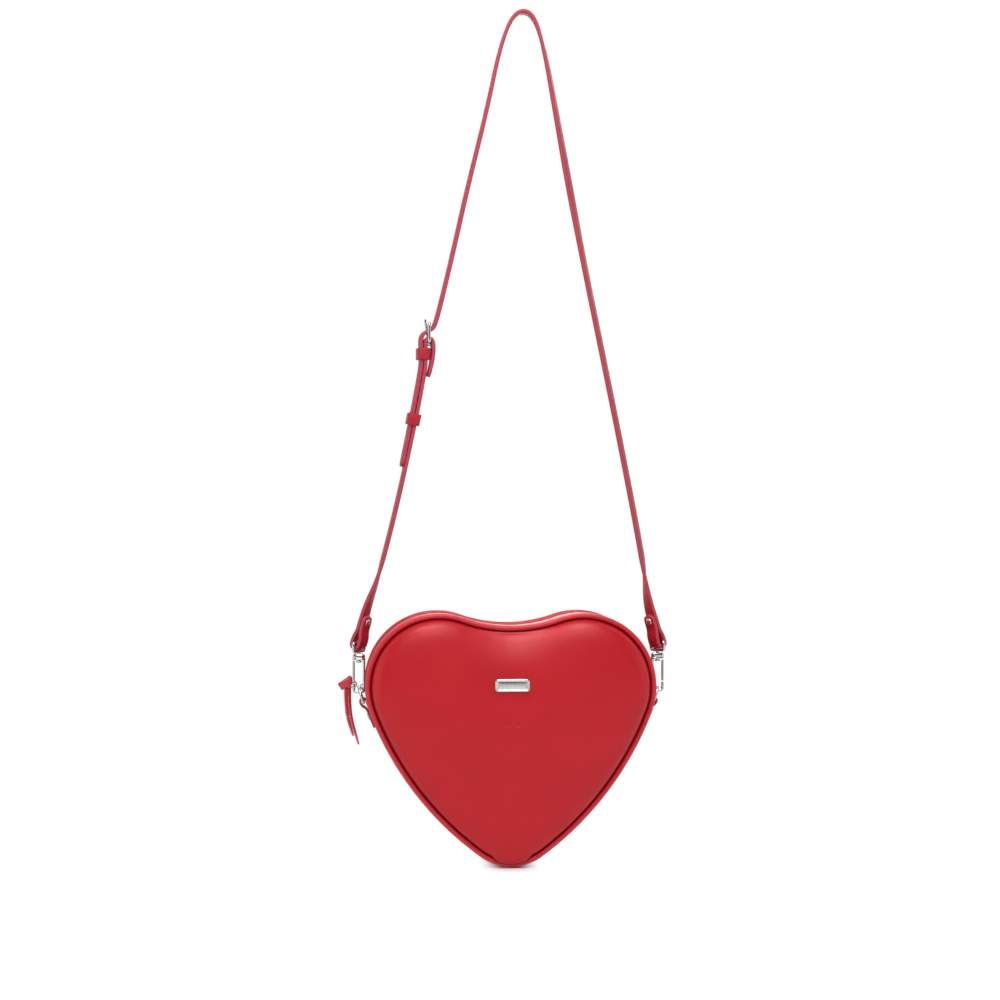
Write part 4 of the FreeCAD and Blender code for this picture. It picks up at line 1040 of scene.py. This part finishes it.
def swivel_eye(side):
    """The wire eye that the strap's end folds round, turned with the strap."""
    wide, foot = width_way(side * TWIST_END), hook_spot(side, 0.0, 0.0, 0.0)
    corners = [foot + wide * a + Z_WAY * z for a, z in EYE_CORNERS]
    line = []
    for k, corner in enumerate(corners):
        before, after = corners[k - 1], corners[(k + 1) % 4]
        start, stop = (corner + unit(other - corner) * EYE_BEND for other in (before, after))
        line += bow(start, corner, stop, np.linspace(0, 1, 7))
    line = even_loop(line, 0.7)
    return [bar("eye", line, [(EYE_WIRE, EYE_WIRE)] * len(line), 14, np.cross(wide, Z_WAY), closed=True),
            turned("post", POST, NICKEL, Matrix.Translation(foot))]


def gate(side):
    """The sprung gate with its knuckle."""
    line = smooth_line([hook_spot(side, 3.65, 0.0, z) for z in (6.35, 8.0, 12.0, 16.0, 20.0, 21.4)], 0.6)
    sizes = [(1.3, 0.94 - 0.05 * math.cos(2 * math.pi * i / len(line))) for i in range(len(line))]
    pin = Matrix.Translation(hook_spot(side, 3.05, 0.0, 23.3)) @ Matrix.Rotation(math.pi / 2, 4, "X")
    return [bar("leaf", line, sizes, 16), turned("knuckle", KNUCKLE, NICKEL, pin)]


for name, side in SIDES:
    hook = smoother(joined("hook_frame_" + name, hook_frame(side)))
    settle(hook, "hook_" + name, "nickel", "hook_body_" + name)
    settle(joined("swivel_eye_" + name, swivel_eye(side)), "strap", "nickel", "hook_eye_" + name)
    leaf = smoother(joined("hook_gate_leaf_" + name, gate(side)))
    settle(leaf, "gate_" + name, "nickel", "hook_gate_" + name)

# Strap

STRAP_W, STRAP_T = 10.0, 2.6
EYE_Z = -440.0
CROWN = Z_WAY * STRAP_T / 2
CROWN_HALF = X_WAY * 6.65
SPAN = 13.3
LOWER_BAR = np.array((-66.2, 0.0, -230.7))
UPPER_BAR = LOWER_BAR + Z_WAY * SPAN
RIGHT_LEG = ((0.890, 0.870), (0.736, 0.698), (0.600, 0.555), (0.470, 0.420), (0.344, 0.281), (0.241, 0.158),
             (0.159, 0.061))
LEFT_TOP = ((0.248, 0.111), (0.387, 0.314), (0.588, 0.558), (0.757, 0.785), (0.857, 0.912))
BUCKLE_PASS = ((0.30, 0.86), (0.10, 0.66), (-0.46, 0.42))
LEFT_LEG = ((0.396, 0.482), (0.711, 0.776))
FOLD = ((-1.38, 20.0), (-1.38, 14.0), (-1.38, 8.5), (-2.9, 4.4), (-3.1, -2.8), (0.0, -3.6), (3.1, -2.8),
        (2.9, 4.4), (1.38, 8.5), (1.38, 15.0), (1.38, 28.5))
BAR_FOLD, BEND_DROP, TAIL_LONG = 2.7, 20.3, 88.0
BAR_WRAP = ((-BAR_FOLD, -6.0), (-BAR_FOLD - 0.2, BAR_FOLD + 0.3), (BAR_FOLD + 0.2, BAR_FOLD + 0.3),
            (BAR_FOLD, -12.4))
TAIL_SHIFT = X_WAY * -2.80
TURN_HEIGHTS = (-380.0, -170.0, -119.0, -70.0, -30.0, 0.0)
TURNS = {LEFT: (6.0, 5.0, 5.0, 3.0, 1.0, 0.0), RIGHT: (19.0, 20.0, 26.0, 19.0, 14.0, 0.0)}
TURN_BLUR = (-16.0, -8.0, 0.0, 8.0, 16.0)
HOLES, HOLE_GAP, HOLE_FIRST, HOLE_R, SLOT_R = 4, 14.0, 11.0, 1.4, 1.35
RIVET_UP, RIVET_OUT = 15.0, 2.68
KEEPER_W, KEEPER_T, KEEPER_OUT, KEEPER_ACROSS, KEEPER_CORNER = 8.0, 1.2, 3.95, 6.0, 1.3
FIXED_DROP, SLIDING_DROP = 8.0, 34.0


def strap_end(side):
    """The eye's bar, and the strap's upward and outward ways there."""
    eye = np.array((BAG[0] + side * HOOK_X, 0.0, EYE_Z))
    up = np.array((-side * math.sin(STRAP_LEAN), 0.0, math.cos(STRAP_LEAN)))
    wide = square_to(up, width_way(side * TWIST_END))
    return eye, up, np.cross(wide, up) * side


def fold_route(side):
    eye, up, out = strap_end(side)
    return [eye + out * x + up * z for x, z in FOLD]


def between(start, end, table):
    """Places by their shares of the way across and the way down from start to end."""
    return [start + (end - start) * np.array((x, 0.0, z)) for x, z in table]


def strap_turn(z, side):
    """How far the strap's face turns to the front at a height, in radians."""
    end = 1 - soft_step(-428.0, -378.0, z)
    middle = np.mean([np.interp(z + step, TURN_HEIGHTS, TURNS[side]) for step in TURN_BLUR])
    return math.radians(middle) * (1 - end) + TWIST_END * end


def strap_piece(name, route, round_ends):
    """A strap whose face turns with its height, and whose side changes at the crown."""
    line = smooth_line(route, 1.5)
    crown = 0 if line[0][0] < 0 else int(np.argmax(line[:, 2]))
    sides = [RIGHT if i < crown else LEFT for i in range(len(line))]
    across = np.array([width_way(side * strap_turn(spot[2], side)) for spot, side in zip(line, sides)])
    return band(name, line, across, STRAP_W, STRAP_T, RED_STRAP, corner=0.75, round_ends=round_ends)


def punched(obj, holes):
    """Cuts round holes, each given by its middle, its way and its radius."""
    for spot, way, radius in holes:
        way = unit(way)
        side = unit(np.cross(way, Y_WAY))
        place = Matrix.Translation(spot) @ Matrix((side, np.cross(way, side), way)).transposed().to_4x4()
        bit = turned("bit", ((radius, -5.0), (radius, 5.0)), RED_STRAP, place, turns=20)
        modifier = obj.modifiers.new("Hole", "BOOLEAN")
        modifier.object = bit
        modifier.solver = "EXACT"
        mesh = result_of(obj)
        obj.modifiers.remove(modifier)
        bpy.data.objects.remove(bit)
        obj.data = mesh
    return obj


def tilted(way, degrees):
    return np.array(Matrix.Rotation(math.radians(degrees), 3, "Y") @ Vector(way))


right_eye, left_eye = strap_end(RIGHT)[0], strap_end(LEFT)[0]
bend = LOWER_BAR - X_WAY * BAR_FOLD - Z_WAY * BEND_DROP
left_leg = between(LOWER_BAR, left_eye, LEFT_LEG)
main_way = unit(left_leg[0] - bend)
tail_end = bend + TAIL_SHIFT + main_way * (TAIL_LONG - BEND_DROP)
tail_start = LOWER_BAR - X_WAY * BAR_FOLD - Z_WAY * SPAN / 2 + TAIL_SHIFT
flap_end = bend + X_WAY * (STRAP_T + 0.05) + main_way * 3.7
prong_way = UPPER_BAR - X_WAY * 2.3 - LOWER_BAR

long_route = fold_route(RIGHT) + between(CROWN, right_eye, RIGHT_LEG)
long_route += [CROWN + CROWN_HALF, CROWN - CROWN_HALF] + between(CROWN, UPPER_BAR, LEFT_TOP)
long_route += [LOWER_BAR + (X_WAY * x + Z_WAY * z) * SPAN for x, z in BUCKLE_PASS]
long_route += [tail_start, bend + TAIL_SHIFT, tail_end]
holes = [(tail_end - main_way * (HOLE_FIRST + HOLE_GAP * k), np.cross(main_way, Y_WAY), HOLE_R)
         for k in range(HOLES)]
for lift in (-3.5, 0.0, 3.0, 6.0, 9.5):
    way = tilted(prong_way, -lift)
    holes.append((LOWER_BAR + way * 0.62, way, HOLE_R))
long_strap = strap_piece("strap_long_leather", long_route, (4.0, 4.6))
settle(punched(long_strap, holes), "strap", "strap_leather", "strap_long")

short_route = fold_route(LEFT) + left_leg[::-1] + [bend]
short_route += [LOWER_BAR + X_WAY * x + Z_WAY * z for x, z in BAR_WRAP] + [flap_end]
slot_ways = [tilted(prong_way, degrees) for degrees in (-50.0, -25.0, 0.0, 25.0, 50.0)]
slot_holes = [(LOWER_BAR + unit(way) * 4.0, way, SLOT_R) for way in slot_ways]
short_strap = strap_piece("strap_short_leather", short_route, (4.0, 4.0))
settle(punched(short_strap, slot_holes), "strap", "strap_leather", "strap_short")

points, outs = [], []
for _, side in SIDES:
    eye, up, out = strap_end(side)
    for facing in (-1, 1):
        points.append(eye + up * RIVET_UP + out * facing * RIVET_OUT)
        outs.append(out * facing)
heads = RIVETS.grow("strap_rivet_heads", points, outs, joined_up=False, Across=5.0)
settle(heads, "strap", "nickel", "strap_rivets")


def keeper(name, middle, way, body):
    """A leather loop round both layers of the strap."""
    wide = square_to(way, width_way(LEFT * strap_turn(middle[2], LEFT)))
    out = np.cross(way, wide)
    ring = rounded_rectangle(KEEPER_OUT, KEEPER_ACROSS, KEEPER_CORNER, 4)
    line = even_loop([middle + out * a + wide * b for a, b in ring], 0.8)
    strip = band(name + "_leather", line, way, KEEPER_W, KEEPER_T, RED_STRAP, corner=0.4, closed=True)
    settle(strip, body, "strap_leather", name)


keeper("fixed_keeper", LOWER_BAR - X_WAY * BAR_FOLD - Z_WAY * FIXED_DROP + TAIL_SHIFT / 2, Z_WAY, "strap")
keeper("sliding_keeper", bend + TAIL_SHIFT / 2 + main_way * SLIDING_DROP, -main_way, "keeper")

# Knotted thong on the zip pull

PULL_TURN, PULL_REACH = math.radians(25.0), 6.4
knot_ring = np.array(slider_spot(52.6, 0.0, 0.0))
knot_ring += PULL_REACH * np.array((-math.cos(PULL_TURN), 0.0, math.sin(PULL_TURN)))
knot_middle = knot_ring + np.array((-5.3, 0.0, 1.0))
KNOT_SLANT = math.radians(32.0)
knot_along = np.array((math.cos(KNOT_SLANT), 0.0, math.sin(KNOT_SLANT)))
knot_up = np.array((-math.sin(KNOT_SLANT), 0.0, math.cos(KNOT_SLANT)))
LOOP = ((-6.2, 0, 1.6), (-3.4, 0, 1.9), (-1.2, 0, 1.8), (1.75, 0, 1.75), (1.75, 0, -1.75), (-1.2, 0, -1.8),
        (-3.4, 0, -1.9), (-6.2, 0, -1.6))
SHORT_TAIL = ((-5.4, -1.0, 1.5), (-5.6, -1.4, -4.0), (-5.6, -1.6, -11.0), (-4.8, -1.7, -21.0),
              (-2.9, -1.5, -29.0), (-0.4, -1.2, -36.2))
LONG_TAIL = ((-3.6, 0.8, 1.5), (-3.1, 1.0, -4.0), (-3.2, 1.2, -11.0), (-2.3, 1.2, -22.0),
             (0.2, 1.1, -32.0), (3.4, 0.9, -42.4))


def thong_strip(name, route, width, thick, turns, taper):
    """A flat thong whose face turns from the first angle to the last, in degrees."""
    line = smooth_line([knot_ring + np.array(p) for p in route], 0.7)
    wide = []
    for way, angle in zip(ways(line), np.radians(np.linspace(*turns, len(line)))):
        side = unit(np.cross(way, Y_WAY)) if abs(way[1]) < 0.9 else X_WAY
        wide.append(side * math.cos(angle) + Y_WAY * math.sin(angle))
    return band(name, line, np.array(wide), width, thick, RED_THONG, corner=0.3, round_ends=(0.0, taper))


def knot_spot(along, y, up):
    return knot_middle + knot_along * along + Y_WAY * y + knot_up * up


wrap = [knot_spot(4.9 * soft_power(c, 0.8), 2.8 * soft_power(s, 0.8), c * s) for c, s in circle(60)]
core = []
for height in np.linspace(-8, 8, 9) / 9:
    ring = math.sqrt(1 - height ** 2)
    core.append([knot_spot(3.9 * ring * c, 2.0 * ring * s, 3.4 * height) for c, s in circle(20)])
parts = [
    thong_strip("loop", LOOP, 3.2, 1.0, (90, 90), 0.0),
    thong_strip("short_tail", SHORT_TAIL, 3.0, 1.1, (30, 72), 9.0),
    thong_strip("long_tail", LONG_TAIL, 3.0, 1.1, (40, 74), 11.0),
    band("wrap", even_loop(wrap, 0.6), knot_up, 5.2, 1.3, RED_THONG, corner=0.4, closed=True),
    solid("core", core, RED_THONG),
]
settle(joined("knotted_thong", parts), "thong", "strap_leather", "pull_thong")


# Camera, light and stage

def aim(obj, spot, target):
    obj.location = spot
    obj.rotation_euler = (Vector(target) - obj.location).to_track_quat("-Z", "Y").to_euler()


def lamp(name, spot, size, power):
    """A round soft lamp that looks at the bag."""
    data = bpy.data.lights.new(name, "AREA")
    data.shape, data.size, data.energy = "DISK", size, power
    aim(linked(bpy.data.objects.new(name, data)), spot, BAG_MIDDLE)


ORBIT, DISTANCE, LENS = math.radians(-4.0), 1.600, 82.3
TARGET = (-0.01645, 0.0, -0.34055)
BAG_MIDDLE = (-0.010, 0.0, -0.500)
camera_data = bpy.data.cameras.new("photo_camera")
camera_data.lens = LENS
camera = linked(bpy.data.objects.new("photo_camera", camera_data))
aim(camera, (TARGET[0] + DISTANCE * math.sin(ORBIT), -DISTANCE * math.cos(ORBIT), TARGET[2]), TARGET)
bpy.context.scene.camera = camera
bpy.context.scene.view_settings.view_transform = "Standard"
for name, spot, size, power in (
        ("upper_softbox", (-0.12, -0.80, 1.02), 0.9, 18.6),
        ("front_softbox", (-0.04, -1.05, 0.20), 0.40, 4.0),
        ("left_softbox", (-1.20, -0.60, -0.25), 0.8, 2.4),
        ("right_softbox", (1.20, -0.70, -0.20), 0.8, 1.9),
        ("rear_softbox", (0.20, 1.20, 0.10), 0.8, 6.0)):
    lamp(name, spot, size, power)


class Sky(Finish):
    """The studio round the object: white to the eye, and dim on the camera's side in reflections."""

    def __init__(self, name, plain, front, back):
        world = bpy.data.worlds.new(name)
        bpy.context.scene.world = world
        world.use_nodes = True
        self.tree = world.node_tree
        seen, through, glossy = (self.node("ShaderNodeLightPath", out=kind)
                                 for kind in ("Is Camera Ray", "Is Transmission Ray", "Is Glossy Ray"))
        way = self.node("ShaderNodeTexCoord", out="Generated")
        depth = self.node("ShaderNodeSeparateXYZ", way, out="Y")
        wall = depth.step(-0.45, 0.20) * (back - front) + front
        level = seen + through + glossy * wall + (1 - seen - through - glossy) * plain
        light = self.tree.nodes["Background"]
        light.inputs["Color"].default_value = WHITE
        self.tree.links.new(level.socket, light.inputs["Strength"])


FLOOR_HALF, FLOOR_DROP = 3000.0, 0.6
CONTACT_HALF, FADE = (0.0, 0.027, 0.0), (0.004, 0.022)


def pale_floor():
    """A floor that shows the shadow close under the bag and fades to white away from it."""
    made = Finish("pale_floor", Roughness=0.9, Base_Color=(0.86, 0.86, 0.86, 1.0), Specular_IOR_Level=0.1)
    away = made.place()
    for operation, other in (("ABSOLUTE", None), ("SUBTRACT", CONTACT_HALF), ("MAXIMUM", (0.0, 0.0, 0.0))):
        away = made.node("ShaderNodeVectorMath", away, other, operation=operation)
    away = made.node("ShaderNodeVectorMath", away, operation="LENGTH", out="Value")
    seen, glossy = (made.node("ShaderNodeLightPath", out=kind) for kind in ("Is Camera Ray", "Is Glossy Ray"))
    blend = made.node("ShaderNodeMixShader", away.step(*FADE) * (seen + glossy),
                      Value(made, made.shader.outputs[0]), made.node("ShaderNodeEmission", Color=WHITE))
    made.tree.links.new(blend.socket, made.tree.nodes["Material Output"].inputs["Surface"])
    corners = [(x * FLOOR_HALF, y * FLOOR_HALF, 0) for x, y in ((-1, -1), (1, -1), (1, 1), (-1, 1))]
    floor = shaped("floor", corners, [(0, 1, 2, 3)], made.material)
    floor.location = (BAG[0] * MM, 0.0, (BAG[2] - FLOOR_DROP) * MM)


Sky("studio", plain=0.17, front=0.06, back=1.0)
pale_floor()

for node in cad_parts.values():
    if not node.hide_render:
        node.data.materials.clear()
        node.data.materials.append(NICKEL)
